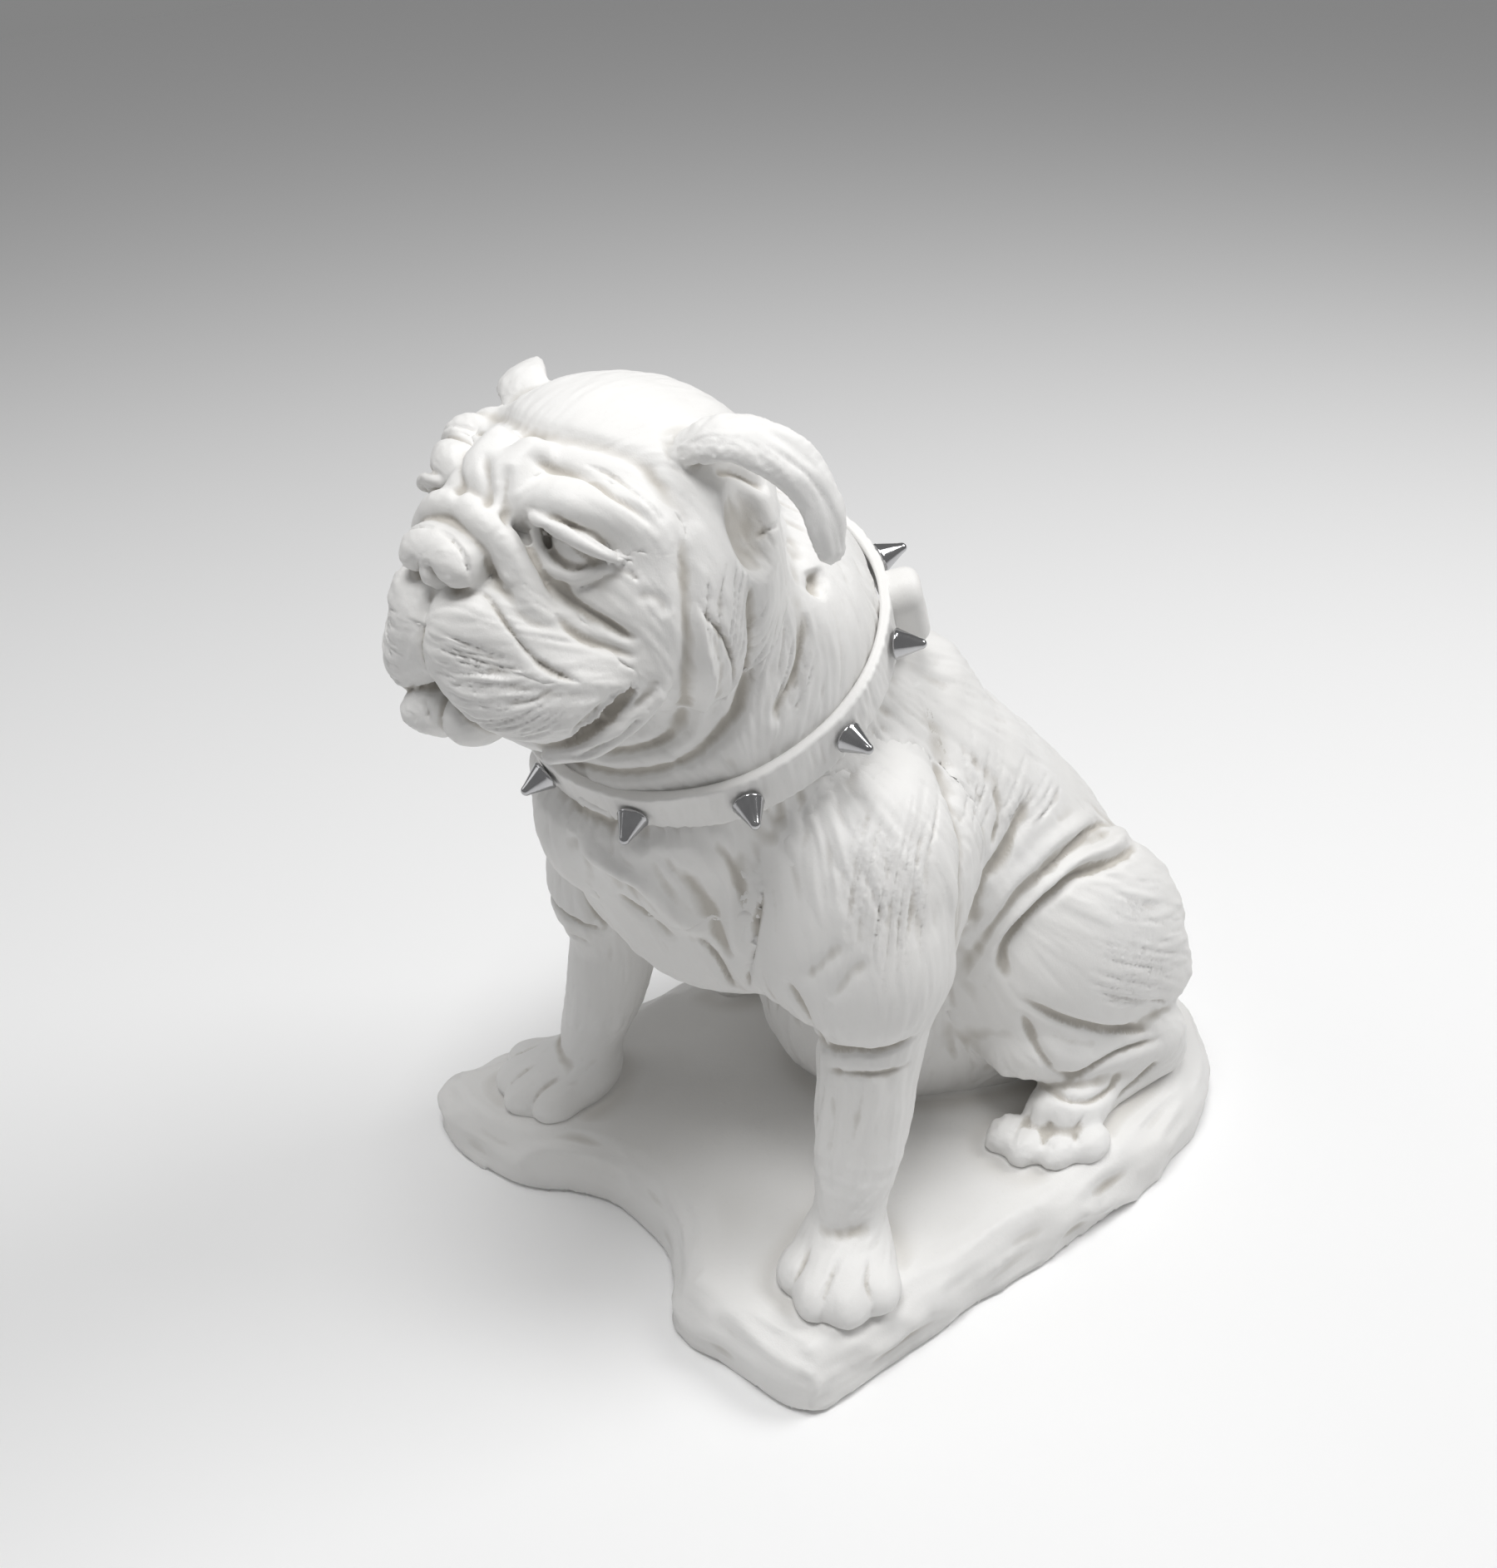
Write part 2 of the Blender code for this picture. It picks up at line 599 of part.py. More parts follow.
def buckle(into):
    """The moulded buckle tab that hangs at the nape: a rounded frame with a sunk face."""
    body = bmesh.new()
    bmesh.ops.create_cube(body, size=1)
    bmesh.ops.scale(body, vec=(TAB_TALL, TAB_WIDE, TAB_THICK), verts=body.verts)
    upright = [edge for edge in body.edges if abs((edge.verts[0].co - edge.verts[1].co).z) > TAB_THICK / 2]
    bmesh.ops.bevel(body, geom=upright, offset=0.35 * TAB_WIDE, segments=4, profile=0.5, affect="EDGES")
    face = max(body.faces, key=lambda face: face.calc_center_median().z)
    bmesh.ops.bevel(body, geom=list(face.edges), offset=0.2 * TAB_THICK, segments=2, profile=0.5, affect="EDGES")
    face = max(body.faces, key=lambda face: face.calc_center_median().z)
    bmesh.ops.inset_region(body, faces=[face], thickness=0.12 * TAB_WIDE)
    bmesh.ops.translate(body, verts=face.verts, vec=(0, 0, -TAB_SUNK))
    drop = Matrix.Translation((0, 0, -TAB_DROP))
    place = collar_place() @ drop @ on_collar(TAB_ANGLE, TAB_STANDS - TAB_THICK / 2)
    bmesh.ops.transform(body, matrix=place, verts=body.verts)
    add_mesh("buckle_tab", body, into)


def add_mesh(name, body, into):
    bmesh.ops.recalc_face_normals(body, faces=body.faces[:])
    mesh = bpy.data.meshes.new(name)
    body.to_mesh(mesh)
    body.free()
    obj = bpy.data.objects.new(name, mesh)
    into.objects.link(obj)
    return obj


def move(obj, into):
    for held in list(obj.users_collection):
        held.objects.unlink(obj)
    into.objects.link(obj)


def spike(name, angle, into, metal):
    """A turned cone with a rounded tip, standing off its seat by the gap."""
    round_tip = [(SPIKE_TIP * math.cos(t), SPIKE_LONG - SPIKE_TIP + SPIKE_TIP * math.sin(t))
                 for t in np.radians((14, 52))]
    outline = [(0, 0), (SPIKE_DIAMETER / 2 - 0.0003, 0), (SPIKE_DIAMETER / 2, 0.0004), (SPIKE_DIAMETER / 2, 0.0012)]
    outline += round_tip + [(0, SPIKE_LONG)]
    body = bmesh.new()
    points = [body.verts.new((x, 0, z)) for x, z in outline]
    edges = [body.edges.new(pair) for pair in zip(points, points[1:])]
    bmesh.ops.spin(body, geom=points + edges, cent=(0, 0, 0), axis=(0, 0, 1), angle=math.tau, steps=12,
                   use_merge=True)
    bmesh.ops.remove_doubles(body, verts=body.verts, dist=1e-6)
    obj = add_mesh(name, body, into)
    obj.matrix_world = collar_place() @ on_collar(angle, SEAT_RISE + GAP)
    obj.data.materials.append(metal)
    return obj


def main():
    clear_scene()
    statue = collection("bulldog_statue")
    tools = collection("joined_forms", shown=False)
    white = material("cast_white", (0.8, 0.78, 0.75), 0.5, 0)
    metal = material("spike_metal", (0.5, 0.5, 0.51), 0.15, 1)

    dog = clay_object("bulldog", figure(), VOXEL / UNIT, statue)
    trim_below(dog.data, BASE_THICK * 0.6)
    fewer = dog.modifiers.new("fewer", "DECIMATE")
    fewer.ratio = min(1.0, FACES / (2 * len(dog.data.polygons)))
    dog.data.materials.append(white)

    base_object(tools)
    collar_band(tools)
    spike_seats(tools)
    buckle(tools)
    for obj in tools.objects:
        obj.display_type = "WIRE"
        obj.hide_render = True
        obj.data.materials.append(white)
        union = dog.modifiers.new(obj.name, "BOOLEAN")
        union.operation = "UNION"
        union.solver = "EXACT"
        union.object = obj

    for number, angle in enumerate(spike_angles(), 1):
        spike(f"spike_{number:02d}", angle, statue, metal)


if __name__ == "__main__":
    main()
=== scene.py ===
"""Looks of the bulldog garden statue: a white cast dog, modelled like clay and then carved and combed with
tools, with its moulded collar, polished cone spikes and a freeform base, in a plain pale studio.

Metres, +Z up. The dog faces -Y and its left side is +X. The figure is drawn on a grid of 1 cm units above
the base's top.
"""

import math

import bmesh
import bpy
import numpy as np
from mathutils import Euler, Matrix, Vector


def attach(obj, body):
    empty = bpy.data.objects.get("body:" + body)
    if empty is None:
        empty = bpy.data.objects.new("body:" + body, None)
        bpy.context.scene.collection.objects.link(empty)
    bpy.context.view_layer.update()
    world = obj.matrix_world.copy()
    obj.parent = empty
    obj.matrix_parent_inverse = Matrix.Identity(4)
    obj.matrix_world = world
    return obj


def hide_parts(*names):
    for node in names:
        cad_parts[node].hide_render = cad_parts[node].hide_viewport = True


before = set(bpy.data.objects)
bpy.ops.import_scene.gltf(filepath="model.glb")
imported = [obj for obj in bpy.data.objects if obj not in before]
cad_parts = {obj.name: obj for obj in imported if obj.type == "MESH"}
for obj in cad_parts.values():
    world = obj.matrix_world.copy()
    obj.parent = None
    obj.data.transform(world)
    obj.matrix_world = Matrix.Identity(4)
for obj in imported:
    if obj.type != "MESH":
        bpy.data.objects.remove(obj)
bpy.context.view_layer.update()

# Sizes of the cast, in metres.
UNIT = 0.01
BASE_THICK = 0.03
COLLAR_WIDE = 0.0215
COLLAR_THICK = 0.0042
SPIKE_COUNT = 11
SPIKE_DIAMETER = 0.0125
SPIKE_LONG = 0.0125
SEAT_RISE = 0.0006
GAP = 0.0003
TAB_TALL = 0.036
TAB_WIDE = 0.0205
TAB_THICK = 0.016
TAB_PROUD = 0.0125
TAB_DROP = 0.008
TAB_SUNK = 0.0022

# The base's underside and its rim, on the grid.
UNDERSIDE = -BASE_THICK / UNIT
RIM_BEVEL = 1.15

# The hindquarters swing to the dog's left.
SWAY = 0.28
SWAY_FROM = -7.0
FORE_TOES = ((7.7, -13.3), (9.2, -13.8), (10.6, -13.1), (11.3, -11.7))
HIND_TOES = ((8.6, -0.5), (9.8, -0.6), (10.9, 0.2), (11.4, 1.5))

# The head's middle on the grid, and the heights above which the coat's guides follow the head and below which
# they follow the sway.
HEAD_AT = (-1.5, -12.3, 33.0)
HEAD_FROM = 26
SWAYED_TO = 24

# The collar's ring on the grid.
COLLAR_AT = (-1.48, -7.33, 26.12)
COLLAR_TURN = (24.4, 5.85, 0)
COLLAR_SIDE = 7.69
COLLAR_FRONT = 7.97
FIRST_SPIKE = -11.3
TAB_ANGLE = 137

# How finely the skin is modelled, in grid units, and the buckle tab in metres.
HEAD_GRAIN = 0.17
FORE_GRAIN = 0.22
HIND_GRAIN = 0.29
BASE_GRAIN = 0.24
TAB_GRAIN = 0.0009
MOST_FACES = 95000

# How far the skin reaches into the base, and where the body's front piece ends and its rear piece starts.
SKIN_FROM = -0.6
FORE_END = -1.3
HIND_START = -1.7

# A distance that is past the reach of every form.
FAR = 50

# How deep a hollow has to be to take the full painted shade, in grid units, and how much the wide hollows count.
FULL_PAINTED_SHADE = 0.07
WIDE_HOLLOWS = 0.35

# The combs drawn through the coat: a tooth's width, a stroke's length, its depth and its seed. Then the knives
# that cut the base's rim, and how far the uncut rim stands out of the drawn edge.
COMBS = ((0.26, 1.5, 0.07, 23), (0.5, 2.4, 0.11, 45))
KNIVES = ((1.1, 2.2, 0.65, 35), (0.5, 2.0, 0.16, 33))
RIM_OUT = 0.3

# The modeller's hand: soft bumps all over the skin, each set with its width, where its noise starts and its height.
HAND = ((2.6, 0, 0.06), (1.1, 9, 0.025))

# The studio: each lamp's direction and height in degrees, its power and its size, and the sky's strength.
LAMPS = (("top_light", 20, 78, 15, 0.6), ("back_light", 140, 48, 11, 0.7), ("side_light", -60, 30, 1.8, 0.8))
LAMPS_FAR = 1.6
SKY = 0.23

# The viewpoint: direction, height and tilt in degrees, what it looks at and from how far, and the lens in mm.
VIEW_ANGLES = (42.21, 34.35, -2.12)
VIEW_TARGET = (-0.0153, -0.048, 0.211)
VIEW_FAR = 0.6782
VIEW_LENS = 1845.81 * 36 / 1885


# Clay: the forms that the figure is built up from.


class Ball:
    """An ellipsoid with its half sizes and its turn in degrees."""

    def __init__(self, at, size, turn=(0, 0, 0), seam=1.2, cut=False, both=False):
        self.at = np.array(at, np.float32)
        self.size = np.array(size, np.float32) * np.ones(3, np.float32)
        self.turn = np.array(Euler(np.radians(turn)).to_matrix(), np.float32)
        self.seam, self.cut, self.both = seam, cut, both
        self.middle, self.reach = self.at, float(self.size.max())

    def distance(self, points, middle, limit):
        local = (points - self.at) @ self.turn
        near = np.linalg.norm(local / self.size, axis=1)
        slope = np.linalg.norm(local / self.size**2, axis=1)
        return near * (near - 1) / np.maximum(slope, 1e-9)

    def blanks(self):
        yield self.at, self.size, self.turn


class Roll:
    """A roll of clay along a smooth path, with its half thickness at each point."""

    def __init__(self, path, thick, seam=0.8, cut=False, both=False):
        thick = np.array(thick, float) * np.ones(len(path))
        bent = smooth(np.column_stack([np.array(path, float), thick]))
        bent = bent.astype(np.float32)
        self.path, self.thick = bent[:, :3], bent[:, 3]
        self.seam, self.cut, self.both = seam, cut, both
        self.middle = (self.path.min(axis=0) + self.path.max(axis=0)) / 2
        self.reach = float((np.linalg.norm(self.path - self.middle, axis=1) + self.thick).max())

    def distance(self, points, middle, limit):
        here, along = self.path[:-1] - middle, np.diff(self.path, axis=0)
        long = np.einsum("ij,ij->i", along, along)
        away = np.linalg.norm(here + along / 2, axis=1) - np.sqrt(long) / 2 - self.thick.max()
        close = away < limit
        if not close.any():
            return np.full(len(points), FAR, np.float32)
        here, along, long = here[close], along[close], long[close]
        now, gain = self.thick[:-1][close], np.diff(self.thick)[close]
        points = points - middle
        ahead = points @ along.T - np.einsum("ij,ij->i", here, along)
        apart = np.einsum("ij,ij->i", points, points)[:, None] - 2 * (points @ here.T) + (here**2).sum(axis=1)
        share = np.minimum(np.maximum(ahead / long, 0), 1)
        apart = apart - 2 * share * ahead + share * share * long
        return (np.sqrt(np.maximum(apart, 0)) - now - gain * share).min(axis=1)

    def blanks(self):
        for at, thick in zip(self.path, self.thick):
            yield at, np.ones(3) * thick, np.eye(3)


class Flap:
    """A flat strip along a smooth path, such as an ear: at each point, which way it faces, how wide and thick."""

    def __init__(self, path, faces, wide, thick, seam):
        rows = np.column_stack([np.array(path, float), np.array(faces, float), wide, thick])
        rows = smooth(rows).astype(np.float32)
        self.path, self.faces, self.wide, self.thick = rows[:, :3], rows[:, 3:6], rows[:, 6], rows[:, 7]
        self.seam, self.cut, self.both = seam, False, False
        self.middle = (self.path.min(axis=0) + self.path.max(axis=0)) / 2
        self.reach = float((np.linalg.norm(self.path - self.middle, axis=1) + self.wide).max())

    def axes(self, number):
        """The strip's side, face and run at one of its steps."""
        run = self.path[min(number + 1, len(self.path) - 1)] - self.path[max(number - 1, 0)]
        run = run / np.linalg.norm(run)
        face = self.faces[number] - (self.faces[number] @ run) * run
        face = face / np.linalg.norm(face)
        return np.column_stack([np.cross(face, run), face, run])

    def distance(self, points, middle, limit):
        here, along = self.path[:-1], np.diff(self.path, axis=0)
        axes = np.array([self.axes(number) for number in range(len(here))])
        offset = points[:, None] - here
        share = np.einsum("nmk,mk->nm", offset, along) / np.einsum("ij,ij->i", along, along)
        share = np.minimum(np.maximum(share, 0), 1)
        local = np.einsum("nmk,mkj->nmj", offset - share[..., None] * along, axes)
        wide = self.wide[:-1] + np.diff(self.wide) * share
        thick = self.thick[:-1] + np.diff(self.thick) * share
        local /= np.stack([wide, thick, wide], axis=-1)
        near = np.sqrt(np.einsum("nmk,nmk->nm", local, local))
        local /= np.stack([wide, thick, wide], axis=-1)
        steep = np.sqrt(np.einsum("nmk,nmk->nm", local, local))
        return (near * (near - 1) / np.maximum(steep, 1e-9)).min(axis=1)

    def blanks(self):
        for number in range(len(self.path)):
            size = np.array([self.wide[number], self.thick[number], self.thick[number]])
            yield self.path[number], size, self.axes(number)


class Ring:
    """A hoop round its frame's z axis, with half widths across and from front to back."""

    def __init__(self, side, front, size, seam=0.6, cut=False):
        self.side, self.front, self.size = side, front, np.array(size, np.float32)
        self.seam, self.cut, self.both = seam, cut, False
        self.middle, self.reach = np.zeros(3, np.float32), max(side, front) + max(size)

    def distance(self, points, middle, limit):
        stretch = np.hypot(points[:, 0] / self.side, points[:, 1] / self.front)
        away = (stretch - 1) * (self.side + self.front) / 2
        section = np.column_stack([away, points[:, 2]])
        near = np.linalg.norm(section / self.size, axis=1)
        slope = np.linalg.norm(section / self.size**2, axis=1)
        return near * (near - 1) / np.maximum(slope, 1e-9)

    def blanks(self):
        return iter(())


def smooth(points, steps=4):
    """A smooth curve through the points, with this many steps between each two."""
    points = np.asarray(points, float)
    if len(points) < 3:
        return points
    ends = np.vstack([2 * points[0] - points[1], points, 2 * points[-1] - points[-2]])
    curve = []
    for a, b, c, d in zip(ends, ends[1:], ends[2:], ends[3:]):
        for t in np.arange(steps) / steps:
            bend = (2 * a - 5 * b + 4 * c - d) * t**2 + (3 * b - a - 3 * c + d) * t**3
            curve.append(b + ((c - a) * t + bend) / 2)
    return np.array(curve + [points[-1]])


class Frame:
    """A set of forms in its own axes: x to the dog's left, y backward and z up, about an origin."""

    def __init__(self, at=(0, 0, 0), turn=(0, 0, 0), swayed=False):
        self.at = np.array(at, float)
        self.turn = np.array(Euler(np.radians(turn)).to_matrix())
        self.swayed = swayed
        self.forms = []
        self.strokes = []

    def inward(self, points):
        points = np.array(points)
        if self.swayed:
            points[:, 0] -= sway(points[:, 1])
        return (points - self.at.astype(points.dtype)) @ self.turn.astype(points.dtype)

    def outward(self, points):
        points = np.asarray(points, float) @ self.turn.T + self.at
        if self.swayed:
            points[:, 0] += sway(points[:, 1])
        return points


def sway(backward):
    """How far the hindquarters swing toward the dog's left of the line of its forelegs."""
    behind = backward - SWAY_FROM
    return SWAY * (np.sqrt(behind**2 + 4) + behind) / 2


def seam_join(a, b, width):
    """The lower of two distances, with a soft seam this wide where they are close."""
    share = np.clip(0.5 + 0.5 * (b - a) / width, 0, 1)
    return b + (a - b) * share - width * share * (1 - share)


def heaps(points, numbers=None, most=3000):
    """Sorts the points into compact heaps, each a list of their numbers."""
    numbers = np.arange(len(points)) if numbers is None else numbers
    if len(numbers) <= most:
        return [numbers]
    some = points[numbers]
    axis = int(np.argmax(some.max(axis=0) - some.min(axis=0)))
    order = np.argpartition(some[:, axis], len(numbers) // 2)
    return [heap for half in np.array_split(order, 2) for heap in heaps(points, numbers[half], most)]


def heap_field(frames, points, margin):
    """The field at one heap of points. A form drawn for both sides is met with the points folded to its own."""
    total = np.full(len(points), FAR, np.float32)
    for frame_ in frames:
        local = frame_.inward(points)
        folded = local * (np.sign(local[:, :1]) * (1, 0, 0) + (0, 1, 1)).astype(np.float32)
        places = []
        for seen in (local, folded):
            middle = (seen.min(axis=0) + seen.max(axis=0)) / 2
            places.append((seen, middle, float(np.linalg.norm(seen - middle, axis=1).max())))
        for form in frame_.forms:
            seen, middle, spread = places[form.both]
            limit = spread + form.seam + margin
            if np.linalg.norm(middle - form.middle) > form.reach + limit:
                continue
            distance = form.distance(seen, middle, limit)
            if form.cut:
                total = -seam_join(-total, distance, form.seam)
            else:
                total = seam_join(total, distance, form.seam)
    return total


def field(frames, points, groups=None, margin=0.8):
    """Distance from each point to the clay's skin, inside negative."""
    points = np.asarray(points, np.float32)
    total = np.empty(len(points), np.float32)
    for heap in groups or heaps(points):
        total[heap] = heap_field(frames, points[heap], margin)
    return total


def settle(frames, points, turns=4, reach=0.6, step=0.02):
    """Moves points onto the clay's skin."""
    points = np.array(points, float)
    groups = heaps(points)
    for _ in range(turns):
        here = field(frames, points, groups)
        gradient = np.empty_like(points)
        for axis in range(3):
            moved = points.copy()
            moved[:, axis] += step
            gradient[:, axis] = (field(frames, moved, groups) - here) / step
        steep = np.einsum("ij,ij->i", gradient, gradient)
        push = np.where(np.abs(here) < 10, here / np.maximum(steep, 0.2), 0)
        points -= gradient * np.clip(push, -reach, reach)[:, None]
    return points


# Strokes: creases and ridges drawn into the skin.


class Stroke:
    """A tool's stroke along a path on the skin: a groove where depth is over 0, or else a ridge.

    A sharp one is a V with its crease at the path. It is drawn on both sides of the body unless told not to be.
    """

    def __init__(self, path, wide, depth, both=True, sharp=False, fade=0.3):
        self.path = np.array(path, float)
        self.wide, self.depth, self.both, self.sharp, self.fade = wide, depth, both, sharp, fade


class Skin:
    """The skin's points with their normals, sorted into boxes so that those near a place are found fast."""

    SPAN = 400  # Boxes along each axis, with the origin in the middle.

    def __init__(self, points, normals, box=0.8):
        self.points, self.normals, self.box = points, normals, box
        cell = np.floor(points / box).astype(int) + self.SPAN // 2
        code = (cell[:, 0] * self.SPAN + cell[:, 1]) * self.SPAN + cell[:, 2]
        self.order = np.argsort(code, kind="stable")
        found, first = np.unique(code[self.order], return_index=True)
        ends = np.append(first[1:], len(code))
        self.cells = dict(zip(found.tolist(), zip(first.tolist(), ends.tolist())))

    def near(self, low, high):
        """Numbers of the points in the boxes between two corners."""
        low = np.floor(low / self.box).astype(int) + self.SPAN // 2
        high = np.floor(high / self.box).astype(int) + self.SPAN // 2
        runs = []
        for x in range(low[0], high[0] + 1):
            for y in range(low[1], high[1] + 1):
                for z in range(low[2], high[2] + 1):
                    run = self.cells.get((x * self.SPAN + y) * self.SPAN + z)
                    if run:
                        runs.append(self.order[run[0]:run[1]])
        return np.concatenate(runs) if runs else np.empty(0, int)


def stroke_depth(stroke, path, skin, sunk):
    """Adds one stroke's depth at each point near its path."""
    reach = 2.6 * stroke.wide
    close = skin.near(path.min(axis=0) - reach, path.max(axis=0) + reach)
    if not len(close):
        return
    points = skin.points[close]
    best = np.full(len(close), np.inf)
    run = np.zeros(len(close))
    lengths = np.linalg.norm(np.diff(path, axis=0), axis=1)
    total = lengths.sum()
    walked = 0.0
    for here, there, length in zip(path, path[1:], lengths):
        along = there - here
        share = np.clip((points - here) @ along / max(length**2, 1e-9), 0, 1)
        away = np.linalg.norm(points - here - share[:, None] * along, axis=1)
        nearer = away < best
        best = np.where(nearer, away, best)
        run = np.where(nearer, walked + share * length, run)
        walked += length
    ends = np.clip(np.minimum(run, total - run) / (stroke.fade * total), 0, 1)
    across = best / stroke.wide
    groove = np.exp(-2 * across) if stroke.sharp else np.exp(-(across**2))
    sunk[close] += stroke.depth * groove * np.sin(ends * math.pi / 2)


def carve(frames, skin):
    """How deep all the strokes sink the skin at each point."""
    drawn = []
    for frame_ in frames:
        for stroke in frame_.strokes:
            for side in (1, -1) if stroke.both else (1,):
                drawn.append((stroke, frame_.outward(smooth(stroke.path * (side, 1, 1)))))
    ends = np.cumsum([len(path) for _, path in drawn])
    settled = settle(frames, np.vstack([path for _, path in drawn]))
    sunk = np.zeros(len(skin.points))
    for (stroke, _), path in zip(drawn, np.split(settled, ends[:-1])):
        stroke_depth(stroke, path, skin, sunk)
    return sunk


# The comb: fine hair marks that run the way the coat lies.


class Lattice:
    """Smooth seeded noise from -1 to 1, repeating after this many cells."""

    CELLS = 64

    def __init__(self, seed):
        self.values = np.random.default_rng(seed).uniform(-1, 1, (self.CELLS,) * 3)

    def at(self, points):
        cell = np.floor(points).astype(int)
        part = points - cell
        part = part * part * (3 - 2 * part)
        low, high = cell % self.CELLS, (cell + 1) % self.CELLS
        total = 0
        for corner in range(8):
            pick = [corner >> axis & 1 for axis in range(3)]
            place = [high[:, axis] if pick[axis] else low[:, axis] for axis in range(3)]
            share = [part[:, axis] if pick[axis] else 1 - part[:, axis] for axis in range(3)]
            total = total + self.values[tuple(place)] * share[0] * share[1] * share[2]
        return total


def coat_guides():
    """Where the coat runs which way and how strongly it is combed: place, direction, reach, strength."""
    guides = [
        # Back, flanks and shoulders: down and backward.
        ((0, 4, 24), (0, 0.9, -0.6), 5, 0.8), ((0, 9, 17), (0, 0.6, -0.9), 5, 0.8),
        ((0, 12, 10), (0, 0.3, -1), 5, 0.9), ((0, 12, 4), (0, 0.1, -1), 4, 0.9),
        ((7, -6, 20), (0.3, 0.1, -1), 4, 0.8), ((8, -7, 14), (0.1, -0.2, -1), 4, 0.8),
        ((6, -2, 22), (0.3, 0.5, -1), 3, 1.0), ((6, 1, 17), (0.3, 0.2, -1), 4, 0.7),
        ((8, 4, 13), (0.5, 0.8, -0.4), 3, 0.9), ((9, 2, 10), (0.2, 0.6, -0.9), 3, 0.35),
        ((10, 8, 9), (0, 1, -0.1), 3, 1.0),
        ((9, 3, 5), (0, 0.9, -0.5), 3, 0.9), ((8, 10, 7), (-0.3, 0.5, -1), 4, 0.9),
        # Chest and belly.
        ((0, -13, 19), (0, 0.3, -1), 4, 0.8), ((4, -12, 19), (0.4, 0.1, -1), 3, 0.8),
        ((0, -8, 12), (0, 0.6, -1), 4, 0.8), ((0, -5, 5), (0.3, 0, -1), 4, 1.2),
        # Legs.
        ((8, -9, 8), (0, -0.2, -1), 3, 1.1), ((9, -12, 1), (0.2, -1, -0.3), 3, 0.4),
        ((9, 5, 2), (0, -1, -0.2), 3, 0.5),
        # Skull and brow.
        ((0, -14, 38), (0.1, 1, 0.2), 3, 0.3), ((0, -9, 39), (0.1, 1, -0.1), 4, 0.5),
        ((0, -6, 36), (0, 1, -0.8), 4, 0.9), ((3, -15, 36.5), (0.9, 0.2, -0.4), 2, 0.4),
        ((5, -14, 36), (0.4, 0.2, -1), 2, 0.7), ((4, -16, 34.5), (0.8, 0.4, -0.7), 1.5, 0.2),
        # Flews: lines that run round the muzzle.
        ((2, -20, 32), (1, 0.3, -0.15), 2.5, 1.0), ((4, -18, 30.5), (0.8, 0.7, 0.1), 2.5, 1.0),
        ((0, -18, 35), (1, 0.1, 0), 1.5, 0.1),
        # Cheeks, neck and throat.
        ((6, -13, 32), (0.1, 0.3, -1), 3, 0.9), ((6, -10, 30), (0, -0.1, -1), 3, 1.3),
        ((6, -7, 28), (-0.2, -0.3, -1), 4, 1.5), ((6, -8, 35), (0.1, 0.4, -1), 3, 0.9),
        ((3, -13, 27), (0.8, 0.2, -0.5), 3, 0.8), ((0, -4, 31), (0, 0.4, -1), 5, 1.2),
        # Ears.
        ((7.5, -10, 37), (0.7, 0.5, -0.6), 1.5, 0.5), ((8.5, -9.5, 34.5), (0.1, 0.1, -1), 2, 0.6),
    ]
    rows = []
    for (x, y, z), (dx, dy, dz), reach, force in guides:
        middle = HEAD_AT[0] if z > HEAD_FROM else 0
        rows += [[x * side + middle, y, z, dx * side, dy, dz, reach, force] for side in (1, -1)]
    return np.array(rows)


def lie_of_coat(points, normals):
    """Which way the coat lies at each point, and how strongly it is combed there."""
    way = np.zeros_like(points)
    force = np.zeros(len(points))
    weight = np.full(len(points), 1e-6)
    straight = points.copy()
    low = points[:, 2] < SWAYED_TO
    straight[low, 0] -= sway(points[low, 1])
    for x, y, z, dx, dy, dz, reach, strength in coat_guides():
        pull = np.exp(-((straight - (x, y, z)) ** 2).sum(axis=1) / reach**2)
        way += pull[:, None] * (dx, dy, dz)
        force += pull * strength
        weight += pull
    way -= (way * normals).sum(axis=1)[:, None] * normals
    way /= np.maximum(np.linalg.norm(way, axis=1), 1e-9)[:, None]
    return way, force / weight


def comb(points, way, grain, long, seed, steps=11):
    """Noise drawn out along the coat's lie, from about -1 to 1: grain is how wide its marks are."""
    lattice = Lattice(seed)
    total = np.zeros(len(points))
    for share in np.linspace(-1, 1, steps):
        total += lattice.at((points + way * (share * long)) / grain) * (1.1 - abs(share))
    return total / total.std() * 0.5


# The dog.


def hatch(first, last, count, wide, depth, seed):
    """A family of fine strokes side by side, from the first path to the last, drawn by an uneven hand."""
    first, last = np.array(first), np.array(last)
    chance = np.random.default_rng(seed)
    strokes = []
    for share in np.linspace(0, 1, count):
        path = first + (last - first) * np.clip(share + chance.normal(0, 0.3 / count, (len(first), 1)), 0, 1)
        start, end = chance.uniform(0, 0.3, 2) * (len(path) - 1) * (1, -1) + (0, len(path) - 1)
        steps = np.linspace(start, end, 4)
        path = np.column_stack([np.interp(steps, range(len(path)), path[:, axis]) for axis in range(3)])
        strokes.append(Stroke(path, wide, depth * chance.uniform(0.5, 1.2), sharp=True))
    return strokes


def toe_gaps(toes, wide):
    """A groove between each toe and the next."""
    gaps = []
    for (x, y), (u, v) in zip(toes, toes[1:]):
        x, y = (x + u) / 2, (y + v) / 2 - 0.2
        path = [(x, y, 0.3), (x - 0.15, y + 0.4, 1.4), (x - 0.5, y + 1.4, 2.0)]
        gaps.append(Stroke(path, wide, 0.2, sharp=True))
    return gaps


